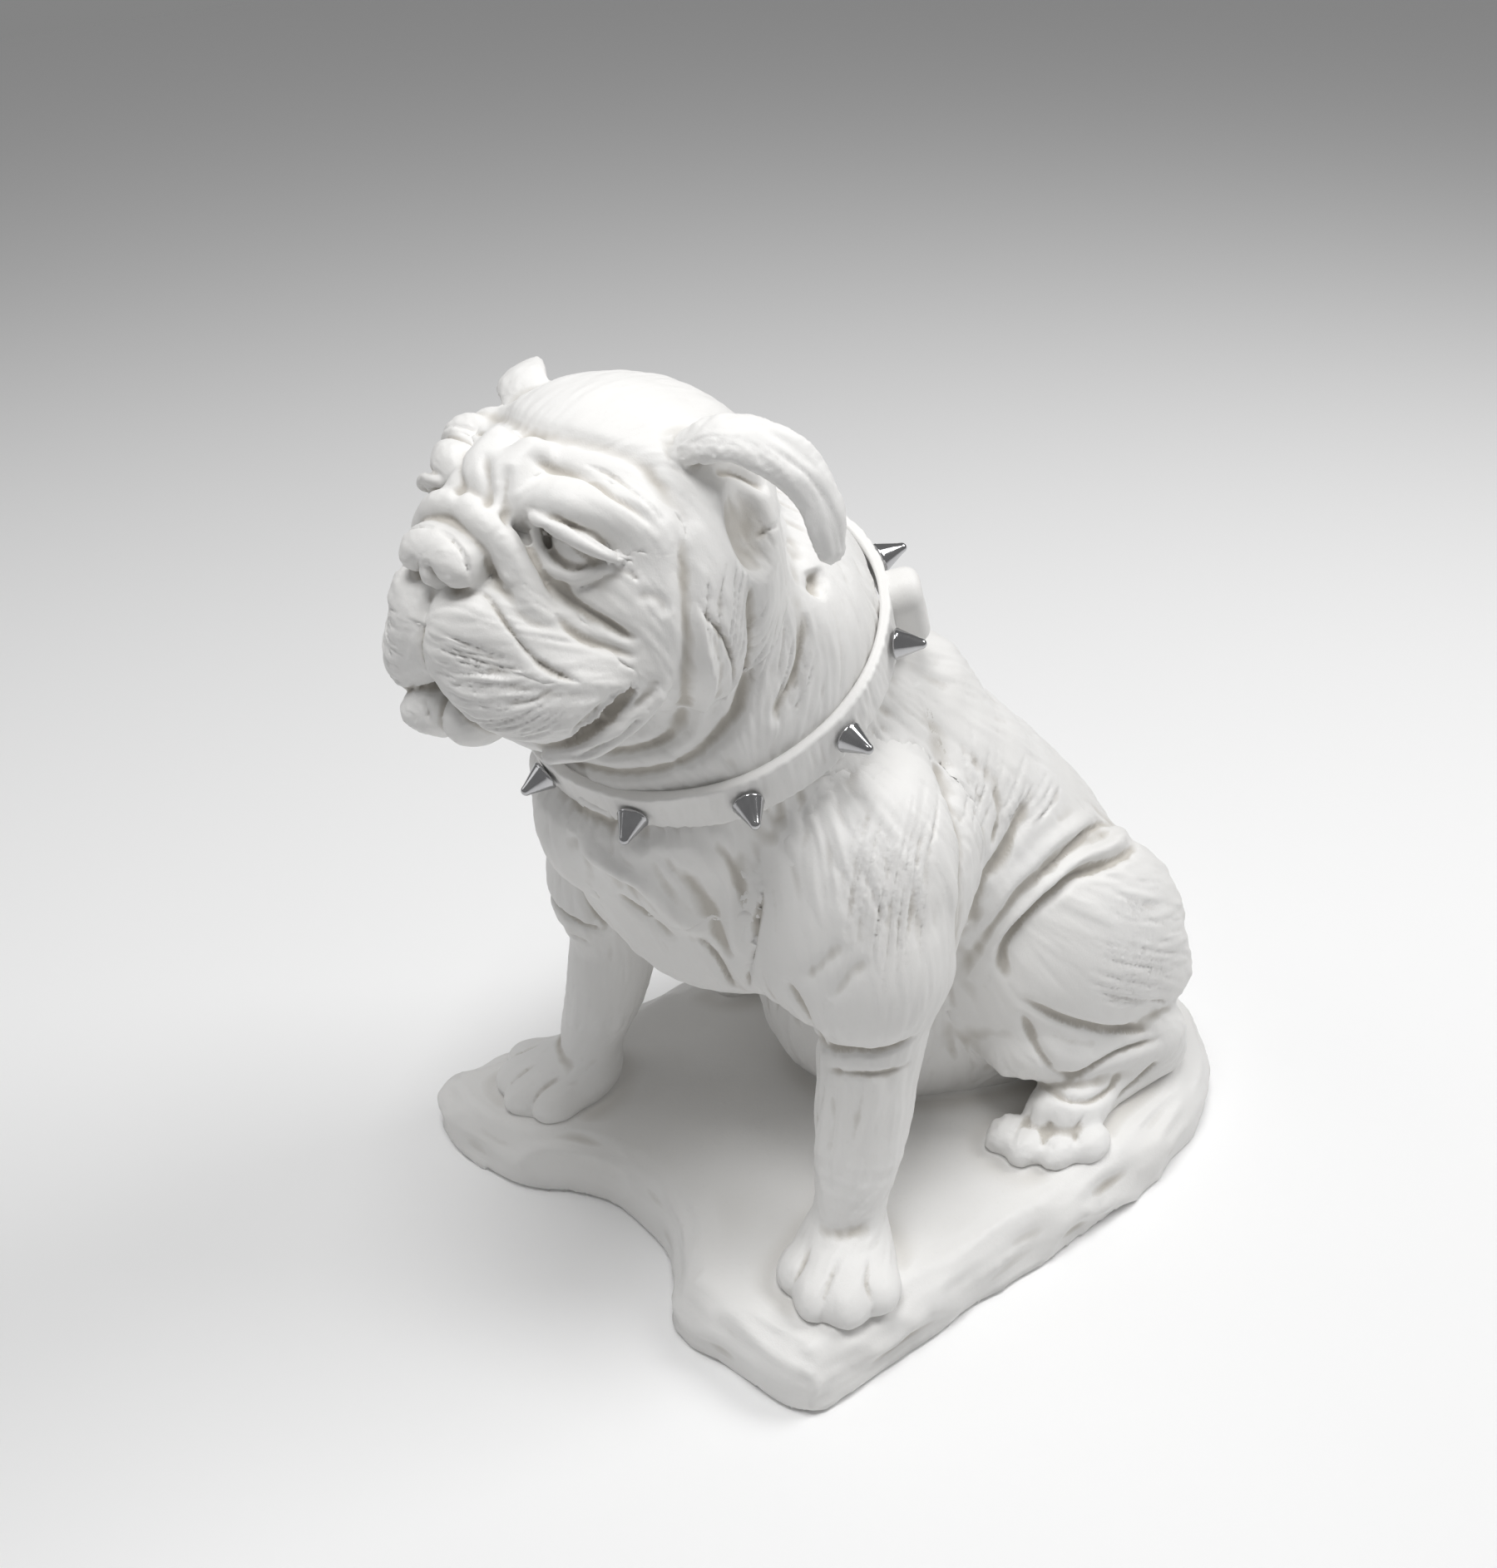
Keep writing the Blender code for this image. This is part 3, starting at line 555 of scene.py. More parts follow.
def trunk():
    """Trunk, haunches and hind legs, on the swayed line of the back."""
    part = Frame(swayed=True)
    part.forms = [
        # Chest, back and belly.
        Roll([(-1.7, -8.6, 21.4), (-1.3, -5.8, 15.6)], [6.2, 6.7], seam=2),
        Roll([(-1.7, -3.2, 20.4), (-0.3, 1.3, 14.0), (0, 5.1, 8.0), (0, 5.8, 3.6)], [6.4, 7.2, 7.5, 7.2], seam=3),
        Ball((0, 1.4, 5.6), (5.4, 6.4, 7.6), seam=2.5),
        Ball((-0.1, 1.0, 22.3), (2.2, 2.2, 1.8), seam=2),
        # Haunches.
        Ball((5.5, 5.2, 7.8), (4.8, 6.0, 6.4), turn=(20, 0, 0), seam=1.0, both=True),
        Ball((8.2, 8.2, 6.0), (1.6, 1.9, 2.2), seam=1.0, both=True),
        Roll([(7.3, 1.8, 4.8), (7.9, 4.0, 3.6), (8.6, 7.4, 2.8)], [2.1, 2.1, 2.15], seam=0.5, both=True),
        Roll([(8.7, 8.2, 1.3), (8.6, 4.6, 1.0), (9.5, 1.9, 0.9)], [1.75, 1.7, 1.6], seam=0.7, both=True),
    ]
    for x, y in HIND_TOES:
        part.forms.append(Ball((x, y, 0.5), (0.8, 1.2, 0.8), turn=(0, 0, 20), seam=0.5, both=True))
    part.strokes = [
        # Folds of the chest.
        Stroke([(-1.8, -14.7, 20.4), (-0.4, -14.5, 20.2), (0.8, -14.0, 19.6), (1.3, -13.2, 18.2),
               (1.7, -12.5, 16.9), (2.1, -12.0, 16.0)], 0.5, -0.5, both=False),
        Stroke([(-1.0, -13.8, 17.9), (-0.2, -13.4, 17.1), (0.4, -12.9, 16.2), (0.9, -12.4, 15.4)],
               0.36, 0.28, both=False),
        Stroke([(1.8, -12.1, 16.0), (2.1, -11.7, 15.2), (2.3, -11.1, 13.8), (2.1, -10.2, 11.8)],
               0.18, 0.35, sharp=True, both=False),
        Stroke([(2.7, -12.9, 21.7), (3.2, -12.2, 20.3), (3.3, -11.6, 18.8), (3.3, -11.4, 17.0), (3.1, -11.2, 14.9)],
               0.4, -0.35, both=False),
        Stroke([(1.8, -13.6, 21.1), (2.4, -12.8, 19.5), (2.6, -12.1, 17.7), (2.7, -11.5, 15.9), (2.7, -11.0, 13.9)],
               0.34, 0.22, both=False),
        Stroke([(4.3, -10.7, 19.6), (4.4, -10.9, 18.5), (4.3, -11.2, 17.3), (3.9, -11.1, 15.3), (2.7, -10.0, 12.1)],
               0.16, 0.35, sharp=True, both=False),
        Stroke([(3.3, -12.1, 21.5), (3.5, -11.5, 19.7), (3.8, -11.3, 17.5), (3.5, -11.1, 15.1)],
               0.3, 0.12, both=False),
        # Valley behind the shoulder, and the folds of skin between flank and thigh.
        Stroke([(3.7, -0.6, 22.7), (6.5, -2.9, 20.2), (8.0, -4.2, 17.4), (8.4, -4.9, 13.4)], 0.9, 0.5),
        Stroke([(5.6, 2.9, 17.7), (6.2, 1.4, 17.0), (6.5, 0.2, 15.9), (6.8, -1.0, 15.0), (6.6, -1.5, 13.0)],
               0.4, 0.4),
        Stroke([(5.5, 0.7, 19.0), (6.2, 0.3, 17.7), (6.5, -0.4, 16.6)], 0.22, 0.22),
        Stroke([(5.1, 5.0, 17.0), (6.0, 3.2, 16.8), (6.3, 2.0, 16.6)], 0.15, 0.22, sharp=True),
        Stroke([(5.0, 7.6, 14.4), (6.0, 5.2, 15.2), (6.5, 3.1, 15.5), (6.8, 1.6, 15.1), (6.8, 0.4, 14.5),
               (6.6, -0.5, 13.1), (6.2, -1.0, 11.2)], 0.42, -0.35),
        Stroke([(5.4, 7.8, 13.8), (6.1, 5.6, 14.7), (6.5, 4.2, 14.7), (6.8, 3.1, 14.5), (6.9, 2.1, 14.3),
               (6.9, 1.4, 13.9)], 0.2, 0.35, sharp=True),
        Stroke([(5.0, 9.3, 12.7), (6.8, 6.5, 13.7), (7.0, 4.4, 14.1), (7.1, 2.5, 13.9), (7.1, 1.5, 13.5),
               (6.9, 0.4, 12.5), (6.7, -0.3, 10.8), (6.3, -0.9, 8.9)], 0.42, -0.45),
        Stroke([(6.4, 8.2, 12.4), (7.3, 6.7, 13.4), (7.4, 5.0, 13.6), (7.3, 3.6, 13.7), (7.3, 2.3, 13.2),
               (7.2, 1.1, 12.6), (7.0, 0.3, 11.6), (7.1, 0, 10.7), (7.6, 0, 9.4)], 0.28, 0.55),
        # The thigh's lower edge, the shin's lobe and the hock.
        Stroke([(7.9, 0.1, 8.8), (8.6, 0.6, 8.1), (9.1, 1.4, 7.3), (9.6, 2.6, 6.4), (9.8, 4.6, 5.1),
               (10.4, 6.7, 4.2)], 0.26, 0.45),
        Stroke([(9.2, 1.3, 3.9), (9.4, 2.4, 3.3), (9.9, 3.4, 3.6), (10.1, 4.4, 3.8), (10.4, 5.8, 3.8),
               (10.7, 6.9, 3.8)], 0.24, 0.4),
        Stroke([(8.1, 0.2, 8.0), (8.5, 0.6, 6.3), (9.1, 0.8, 5.1), (9.2, 1.6, 3.6)], 0.24, 0.3),
        Stroke([(8.6, 1.6, 2.2), (9.8, 1.6, 2.4), (10.4, 2.4, 2.1), (10.2, 4.1, 1.7), (10.1, 4.6, 2.5)], 0.2, 0.3),
        Stroke([(10.4, 4.2, 0.9), (10.3, 5.7, 1.3), (10.8, 6.7, 2.4)], 0.2, 0.25),
    ]
    part.strokes += hatch([(7.9, 4.4, 13.2), (8.7, 5.1, 12.5), (9.1, 6.2, 11.8), (9.3, 7.2, 10.9)],
                          [(9.4, 1.8, 8.7), (10.1, 3.6, 7.6), (10.1, 5.9, 6.2), (9.7, 8.8, 4.3)],
                          20, 0.14, 0.13, 71)
    part.strokes += hatch([(3.7, 0.4, 22.4), (4.7, -0.3, 21.0), (5.9, -1.2, 19.7), (8.0, -3.6, 19.2)],
                          [(4.7, 5.1, 17.4), (5.7, 3.3, 17.3), (6.2, 2.0, 16.9), (6.5, 1.0, 16.4)],
                          12, 0.16, 0.13, 72)
    part.strokes += toe_gaps(HIND_TOES, 0.2)
    return part


def forequarters():
    """Shoulders and forelegs, square to the front."""
    part = Frame()
    part.forms = [
        Ball((5.75, -5.9, 16.3), (4.25, 5.3, 6.2), turn=(-14, 0, 0), seam=2.0, both=True),
        Ball((7.5, -7.2, 14.2), (3.0, 3.3, 3.8), turn=(-10, 0, 0), seam=1.0, both=True),
        Roll([(7.5, -7.3, 12.4), (7.6, -7.7, 10.0), (7.85, -8.6, 6.2), (8.2, -9.7, 3.0), (8.3, -10.0, 1.6)],
             [2.5, 2.3, 2.05, 1.62, 1.65], seam=0.4, both=True),
        Ball((9.1, -11.5, 0.6), (2.4, 2.95, 1.5), turn=(0, 0, 35), seam=0.9, both=True),
        # The right shoulder and upper leg stand out a little more.
        Ball((-7.8, -8.7, 12.0), (2.35, 2.35, 3.6), seam=0.8),
        Ball((-3.6, -12.3, 19.3), (1.8, 2.2, 2.6), seam=1.5),
    ]
    for x, y in FORE_TOES:
        part.forms.append(Ball((x, y + 0.2, 0.6), (0.82, 1.15, 0.85), turn=(0, 0, 30), seam=0.5, both=True))
    part.strokes = [
        # Creases at the elbows and wrists, and the front of the upper leg.
        Stroke([(6.4, -9.6, 10.7), (8.0, -9.8, 11.6), (9.2, -9.2, 11.8), (9.9, -8.3, 12.0), (10.1, -7.8, 12.3)],
               0.22, 0.4),
        Stroke([(6.8, -9.9, 9.8), (8.4, -9.8, 10.4), (9.5, -8.9, 10.5), (9.9, -7.8, 10.5)], 0.2, 0.22),
        Stroke([(5.7, -11.2, 15.2), (6.2, -11.0, 14.3), (6.4, -10.6, 13.0), (6.2, -9.5, 10.7)], 0.3, 0.35),
        Stroke([(7.8, -10.7, 14.8), (8.3, -10.3, 16.0), (8.8, -9.6, 16.9)], 0.35, 0.14),
        Stroke([(6.5, -11.1, 15.5), (7.5, -10.8, 16.6), (8.0, -10.1, 17.6)], 0.35, 0.14),
        Stroke([(7.6, -11.7, 2.0), (8.9, -11.5, 2.4), (9.8, -10.2, 2.4)], 0.3, 0.14),
    ]
    part.strokes += hatch([(6.6, -7.0, 22.1), (7.1, -8.7, 20.8), (7.4, -9.8, 19.3), (7.7, -10.5, 17.0)],
                          [(7.1, -2.9, 21.5), (9.0, -6.0, 20.1), (9.8, -7.5, 17.3), (10.1, -8.7, 13.7)],
                          24, 0.15, 0.12, 73)
    part.strokes += toe_gaps(FORE_TOES, 0.22)
    return part


def neck():
    """The neck, in the collar's axes, with the channel that the collar lies in."""
    part = Frame(COLLAR_AT, COLLAR_TURN)
    side, front = COLLAR_SIDE, COLLAR_FRONT
    part.forms = [
        Ball((0, 0, 0.6), (side - 0.5, front - 0.6, 6.6), seam=1.2),
        Ring(side + 1.2, front + 1.2, (1.65, 1.25), seam=0.5, cut=True),
        Roll([(-0.1, -7.6, -0.4), (0.7, -7.65, -0.4), (1.5, -7.5, -0.4)], [0.35, 0.4, 0.35], seam=0.4),
        Ball((-1.0, -6.3, -3.6), (3.4, 1.8, 2.4), seam=0.8),
    ]
    return part


def head():
    """The head, about its middle: skull, muzzle, mouth, nose, eyes and ears."""
    part = Frame(HEAD_AT)
    part.forms = [
        # Skull, cheeks and brows.
        Ball((0.2, 0.8, 0.9), (5.8, 5.6, 4.45), seam=1.6),
        Ball((4.1, -0.2, -1.2), (2.8, 4.2, 3.8), seam=1.4, both=True),
        Roll([(1.2, -4.2, 2.9), (2.6, -3.9, 3.2), (3.8, -3.0, 2.9), (4.7, -2.0, 2.2), (5.2, -1.4, 0.8)],
             [0.6, 0.75, 0.72, 0.68, 0.5], seam=0.9, both=True),
        Roll([(0.75, -3.3, 4.25), (0.9, -4.4, 3.6), (1.1, -5.2, 2.95)], [0.55, 0.5, 0.45], seam=0.6, both=True),
        Ball((0, -4.1, 3.3), (1.0, 1.2, 1.0), seam=0.8),
        Ball((-4.3, -1.4, 3.1), (1.1, 1.3, 0.9), seam=0.8),
        # Muzzle and flews.
        Ball((0, -4.0, -0.8), (3.9, 3.4, 2.8), seam=0.9),
        Roll([(0.85, -6.75, -0.2), (1.6, -6.5, -0.2), (2.3, -6.1, -0.7), (3.1, -5.3, -1.4), (3.9, -4.4, -2.0)],
             [1.1, 1.15, 1.15, 1.15, 1.0], seam=0.7, both=True),
        Roll([(0.8, -7.0, -1.4), (1.85, -6.8, -2.45), (3.0, -5.9, -3.1), (4.05, -4.9, -3.0), (4.8, -3.9, -2.35)],
             [1.35, 1.5, 1.42, 1.15, 0.6], seam=1.5, both=True),
        # Mouth: the slot under the lips, the jaw and its lip, and the tongue.
        Roll([(0.9, -5.6, -4.6), (2.4, -5.4, -4.7), (3.9, -4.8, -4.3), (4.9, -3.6, -3.6)], [0.85, 0.8, 0.7, 0.5],
             seam=0.5, both=True),
        Roll([(0, -7.3, -2.8), (1.1, -7.7, -3.4), (2.3, -7.4, -4.4), (3.4, -6.7, -4.85), (4.35, -5.7, -4.25),
             (5.0, -4.8, -3.25), (5.35, -4.2, -2.6)], [0.4, 0.4, 0.34, 0.36, 0.4, 0.4, 0.25],
             seam=0.1, cut=True, both=True),
        Roll([(4.7, -3.6, -1.7), (5.25, -3.25, -1.95), (5.68, -3.05, -2.5), (5.65, -3.45, -3.2), (5.1, -4.4, -3.95),
             (4.35, -5.3, -4.65), (3.2, -6.0, -5.1)], [0.42, 0.42, 0.4, 0.44, 0.5, 0.48, 0.36],
             seam=0.12, both=True),
        Ball((-0.95, -6.95, -4.0), (1.2, 1.6, 1.12), seam=0.15),
        Ball((0.78, -6.8, -3.95), (1.05, 1.5, 1.1), seam=0.12),
        # Nose and the roll of skin over it, which runs down to the corner of the mouth.
        Ball((0, -6.6, 1.95), (1.5, 1.05, 0.8), seam=0.4),
        Ball((0, -6.95, 1.5), (0.5, 0.8, 0.75), seam=0.3),
        Ball((0.9, -6.8, 1.65), (0.78, 0.85, 0.66), turn=(0, 30, 14), seam=0.5, both=True),
        Roll([(0.36, -7.8, 1.8), (0.5, -7.85, 1.5), (0.8, -7.75, 1.12), (1.2, -7.45, 0.92), (1.7, -7.0, 1.05)],
             [0.16, 0.25, 0.25, 0.18, 0.12], seam=0.1, cut=True, both=True),
        Roll([(0, -5.7, 3.0), (1.0, -5.8, 2.8), (1.75, -5.7, 2.15), (2.3, -5.65, 1.2), (2.8, -5.55, 0.2),
             (3.3, -5.1, -0.7), (3.9, -4.45, -1.4), (4.8, -3.4, -2.0)],
             [0.52, 0.58, 0.6, 0.63, 0.66, 0.66, 0.62, 0.5], seam=0.2, both=True),
        # The second fold of the cheek, under the eye.
        Roll([(3.3, -4.2, 0.5), (4.1, -3.8, -0.3), (4.8, -3.1, -1.0), (5.4, -2.3, -1.5)], [0.38, 0.48, 0.48, 0.35],
             seam=0.35, both=True),
        # Eyes, with their lids.
        Ball((3.2, -4.5, 2.1), (1.15, 1.0, 0.85), turn=(0, 28, 20), seam=0.2, cut=True, both=True),
        Ball((3.15, -3.7, 2.0), (0.98, 0.85, 0.9), seam=0.04, both=True),
        Roll([(2.0, -4.55, 2.95), (2.6, -4.8, 2.98), (3.4, -4.55, 2.66), (4.2, -4.0, 2.12), (4.9, -3.15, 1.45)],
             [0.14, 0.24, 0.28, 0.25, 0.13], seam=0.12, both=True),
        Roll([(2.05, -4.6, 2.5), (2.35, -4.75, 1.85), (2.95, -4.75, 1.3), (3.7, -4.35, 1.15), (4.35, -3.75, 1.4)],
             [0.13, 0.22, 0.28, 0.26, 0.14], seam=0.25, both=True),
    ]
    # Ears: the right one lies a little closer to the skull and lower.
    for side, inward in ((1, 0), (-1, 1.1)):
        part.forms.append(Ball((side * (6.7 - inward), 1.6, 1.9), (1.5, 1.5, 2.1), seam=0.4, cut=True))
        path = [(4.0, 0.3, 4.0), (5.0, 0.6, 4.5), (6.1, 1.4, 4.45), (7.1, 2.1, 3.8), (7.75, 2.6, 2.8),
                (8.1, 2.85, 1.7), (8.2, 3.0, 0.65)]
        faces = [(0.3, -0.3, 1), (0.3, -0.3, 1), (0.45, -0.3, 0.9), (0.8, -0.3, 0.6), (1, -0.3, 0.25),
                 (1, -0.25, 0.1), (1, -0.2, 0)]
        path = [(side * (x - inward), y, z - 0.15 * inward) for x, y, z in path]
        faces = [(side * x, y, z) for x, y, z in faces]
        wide = [0.7, 0.95, 1.0, 0.95, 0.85, 0.78, 0.58]
        part.forms.append(Flap(path, faces, wide, [0.45, 0.45, 0.38, 0.34, 0.32, 0.32, 0.28], seam=0.25))
    part.strokes = [
        # The groove of the upper lip.
        Stroke([(-0.1, -7.4, 0.8), (0, -7.9, 0), (0.05, -8.2, -0.7), (0.05, -8.2, -1.9)],
               0.16, 0.35, sharp=True, both=False),
        # Nostrils, and the crease round the top of the nose.
        Stroke([(0.15, -7.8, 1.9), (0.35, -7.7, 1.6), (0.5, -7.5, 1.2), (0.8, -7.4, 0.95), (1.2, -7.3, 1.0),
               (1.5, -7.0, 1.2)], 0.15, 0.5, sharp=True),
        Stroke([(0.1, -6.9, 2.7), (1.1, -7.0, 2.5), (1.6, -7.1, 2.0), (1.6, -7.0, 1.3)], 0.1, 0.22, sharp=True),
        # The corner of the mouth, the fold under the lower lip, and the cleft of the tongue.
        Stroke([(4.5, -6.1, -3.8), (5.0, -5.6, -3.1), (5.4, -5.0, -2.6), (5.5, -4.5, -2.4)],
               0.16, 0.5, sharp=True, fade=0.15),
        Stroke([(4.2, -5.9, -4.9), (5.0, -5.3, -4.5), (5.4, -4.6, -4.2), (5.9, -4.0, -3.4)], 0.2, 0.3),
        Stroke([(-0.6, -8.0, -3.3), (-0.4, -8.2, -3.5), (-0.3, -8.2, -4.0)], 0.12, 0.25, sharp=True, both=False),
        # Folds of the brow and the stop.
        Stroke([(-0.5, -3.4, 4.7), (-0.1, -2.5, 4.5), (1.5, -2.1, 4.5), (2.8, -1.6, 4.3), (3.9, -1.2, 3.9),
               (5.0, -1.3, 3.1), (5.8, -1.6, 2.1)], 0.36, 0.2),
        Stroke([(1.1, -3.9, 4.4), (1.5, -3.3, 4.0), (2.7, -2.9, 3.8), (3.9, -2.9, 3.6), (4.8, -2.6, 3.1),
               (5.5, -2.3, 2.4)], 0.2, 0.26),
        Stroke([(2.4, -2.5, 4.0), (3.4, -2.2, 3.7), (4.6, -2.2, 3.3), (5.4, -2.0, 2.6)], 0.1, 0.16, sharp=True),
        Stroke([(-0.3, -4.3, 4.4), (0.6, -5.1, 3.8), (1.3, -5.9, 3.2)], 0.22, 0.2, both=False),
        Stroke([(0.9, -4.4, 4.3), (1.3, -5.1, 3.4), (2.0, -5.5, 2.7)], 0.24, 0.22, both=False),
        Stroke([(-2.5, -3.3, 3.8), (-1.4, -4.4, 3.8), (0.2, -6.1, 3.3)], 0.2, 0.2, both=False),
        # Round the eye.
        Stroke([(2.3, -4.7, 2.9), (3.0, -4.9, 2.75), (3.5, -4.7, 2.4), (3.8, -4.3, 2.0), (4.0, -3.8, 1.5)],
               0.12, 0.28, sharp=True),
        Stroke([(2.1, -4.3, 2.2), (2.5, -4.3, 1.5), (3.4, -4.6, 1.4), (3.8, -4.2, 1.4), (4.0, -3.8, 1.5)],
               0.08, 0.15, sharp=True),
        Stroke([(2.1, -4.7, 3.2), (2.8, -4.8, 3.1), (3.4, -4.4, 2.9), (4.0, -4.2, 2.5), (4.7, -3.7, 1.9)],
               0.14, 0.13, sharp=True),
        Stroke([(4.7, -3.5, 1.5), (5.0, -3.3, 1.2), (5.3, -3.2, 1.0)], 0.1, 0.12, sharp=True),
        # Folds below the eye and down the cheek.
        Stroke([(1.6, -6.8, 1.1), (2.2, -6.8, 0.7), (2.8, -6.8, 0.1), (3.5, -6.6, -0.8), (4.0, -6.2, -1.4),
               (4.7, -5.6, -1.9)], 0.14, 0.3, sharp=True),
        Stroke([(3.1, -4.9, 1.0), (3.8, -4.6, 0.2), (4.9, -4.1, -0.5), (5.6, -3.7, -0.9)], 0.2, 0.4),
        Stroke([(3.5, -5.4, 0.1), (4.2, -4.9, -0.7), (5.0, -4.3, -1.1), (5.7, -3.8, -1.4)], 0.18, 0.28),
        Stroke([(5.2, -3.4, 0.6), (5.7, -2.9, 0.4), (6.0, -2.8, -0.2)], 0.25, 0.12),
        # Behind the cheek and down the neck.
        Stroke([(4.9, -0.9, 3.2), (5.5, -1.1, 2.6), (5.8, -1.6, 2.0), (6.2, -2.0, 0.8), (6.5, -2.3, -0.9),
               (6.2, -2.2, -2.9), (4.9, -1.2, -5.1), (4.0, -1.3, -6.5), (3.1, -1.8, -7.2)], 0.36, 0.32),
        Stroke([(6.4, -1.9, 0.1), (6.7, -1.8, -1.0), (6.6, -1.6, -2.4), (5.5, -0.7, -4.5), (4.9, -0.6, -6.1),
               (4.3, -1.0, -7.0)], 0.28, -0.25),
        Stroke([(6.4, -1.8, 0.2), (6.7, -1.6, -0.5), (6.8, -1.0, -1.4), (6.7, -0.5, -2.5), (5.8, 0.6, -4.7)],
               0.12, 0.28, sharp=True),
        Stroke([(6.6, 0.6, 0.2), (6.8, 0.6, -1.0), (6.6, 0.8, -2.4), (6.1, 1.1, -4.1), (5.9, 0.7, -5.4),
               (5.5, 0.1, -6.3), (5.0, -0.5, -7.1), (4.1, -1.0, -7.9)], 0.34, 0.5),
        Stroke([(6.1, 4.1, -2.9), (6.6, 3.3, -4.3), (6.7, 2.5, -5.3), (6.4, 1.5, -6.4)], 0.3, 0.32),
        Stroke([(5.6, 2.1, 0.6), (5.8, 2.6, 0.8), (5.7, 3.3, 0.8)], 0.1, 0.22, sharp=True),
        Stroke([(5.4, 5.4, -1.9), (5.7, 5.3, -2.3), (5.9, 4.8, -2.6)], 0.35, 0.5),
        Stroke([(5.0, 0.7, 3.4), (5.2, 1.9, 2.9), (5.3, 3.2, 1.9)], 0.26, 0.35),
        # The throat.
        Stroke([(-0.8, -2.2, -9.5), (0.4, -2.4, -8.7), (2.3, -1.9, -8.4), (3.9, -1.3, -7.9), (5.1, -0.4, -7.1)],
               0.25, 0.3),
        Stroke([(1.2, -2.5, -7.8), (2.3, -2.1, -7.4), (3.7, -1.5, -6.8), (4.3, -1.0, -6.2)], 0.25, 0.3),
    ]
    part.strokes += hatch([(0.3, -8.2, 0), (1.2, -8.1, -0.2), (2.1, -7.7, -0.4), (2.8, -7.2, -0.8),
                          (3.4, -6.8, -1.1)], [(0.9, -8.1, -3.5), (1.8, -7.8, -4.0), (3.1, -7.3, -3.9),
                          (4.1, -6.5, -3.4), (4.8, -5.7, -2.6)], 20, 0.11, 0.12, 74)
    part.strokes += hatch([(6.0, -0.9, 2.0), (6.5, -1.3, 0.6), (6.7, -1.7, -1.0), (6.1, -1.5, -3.6)],
                          [(6.4, 4.6, -3.2), (6.9, 4.0, -4.5), (6.9, 2.9, -5.9), (6.6, 1.8, -6.7)],
                          18, 0.1, 0.13, 75)
    return part


def figure():
    """The whole dog, from the rump to the nose."""
    return [trunk(), forequarters(), neck(), head()]


# From clay to skin.


def blank_mesh(frames):
    """One mesh with every form of the clay in it, as rough spheres."""
    body = bmesh.new()
    bmesh.ops.create_icosphere(body, subdivisions=2, radius=1.02)
    ball = np.array([vert.co for vert in body.verts])
    sides = np.array([[vert.index for vert in face.verts] for face in body.faces])
    body.free()
    points, faces = [], []
    for frame_ in frames:
        for form in frame_.forms:
            if form.cut:
                continue
            for at, size, turn in form.blanks():
                for side in (1, -1) if form.both else (1,):
                    faces.append(sides[:, ::side] + len(ball) * len(points))
                    points.append(frame_.outward(((ball * size) @ turn.T + at) * (side, 1, 1)))
    return new_mesh("clay", np.vstack(points), np.vstack(faces))


def positions(mesh):
    flat = np.empty(len(mesh.vertices) * 3, np.float32)
    mesh.vertices.foreach_get("co", flat)
    return flat.reshape(-1, 3).astype(float)


def vertex_normals(mesh):
    flat = np.empty(len(mesh.vertices) * 3, np.float32)
    mesh.vertex_normals.foreach_get("vector", flat)
    return flat.reshape(-1, 3).astype(float)


def normals_of(points, quads):
    """The normals of a skin at its points."""
    mesh = new_mesh("look", points, quads)
    normals = vertex_normals(mesh)
    bpy.data.meshes.remove(mesh)
    return normals


def parts_of(mesh):
    """The mesh's points, normals and quads. The mesh itself goes."""
    parts = positions(mesh), vertex_normals(mesh), corners(mesh)
    bpy.data.meshes.remove(mesh)
    return parts


def corners(mesh):
    """The four corners of each face."""
    flat = np.empty(len(mesh.loops), np.int32)
    mesh.loops.foreach_get("vertex_index", flat)
    return flat.reshape(-1, 4).astype(np.int64)


def new_mesh(name, points, faces):
    mesh = bpy.data.meshes.new(name)
    mesh.vertices.add(len(points))
    mesh.vertices.foreach_set("co", points.astype(np.float32).ravel())
    mesh.loops.add(faces.size)
    mesh.loops.foreach_set("vertex_index", faces.astype(np.int32).ravel())
    mesh.polygons.add(len(faces))
    mesh.polygons.foreach_set("loop_start", np.arange(0, faces.size, faces.shape[1], dtype=np.int32))
    mesh.update(calc_edges=True)
    return mesh


def changed(mesh, kind, **settings):
    """The mesh after one modifier."""
    obj = bpy.data.objects.new("work", mesh)
    bpy.context.scene.collection.objects.link(obj)
    modifier = obj.modifiers.new("work", kind)
    for key, value in settings.items():
        setattr(modifier, key, value)
    graph = bpy.context.evaluated_depsgraph_get()
    made = bpy.data.meshes.new_from_object(obj.evaluated_get(graph))
    bpy.data.objects.remove(obj)
    bpy.data.meshes.remove(mesh)
    return made


def kept_part(points, quads, wanted):
    """The faces that are wanted, with only the points that they use."""
    quads = quads[wanted]
    used, flat = np.unique(quads, return_inverse=True)
    return points[used], flat.reshape(-1, 4)


def split_quads(points, quads):
    """Each quad as four."""
    pairs = np.sort(np.stack([quads, np.roll(quads, -1, axis=1)], axis=-1), axis=-1)
    codes, middles = np.unique(pairs[..., 0] * len(points) + pairs[..., 1], return_inverse=True)
    middles = middles.reshape(quads.shape) + len(points)
    centres = np.arange(len(quads)) + len(points) + len(codes)
    between = (points[codes // len(points)] + points[codes % len(points)]) / 2
    points = np.vstack([points, between, points[quads].mean(axis=1)])
    parts = [np.stack([quads[:, k], middles[:, k], centres, middles[:, k - 1]], axis=1) for k in range(4)]
    return points, np.vstack(parts)


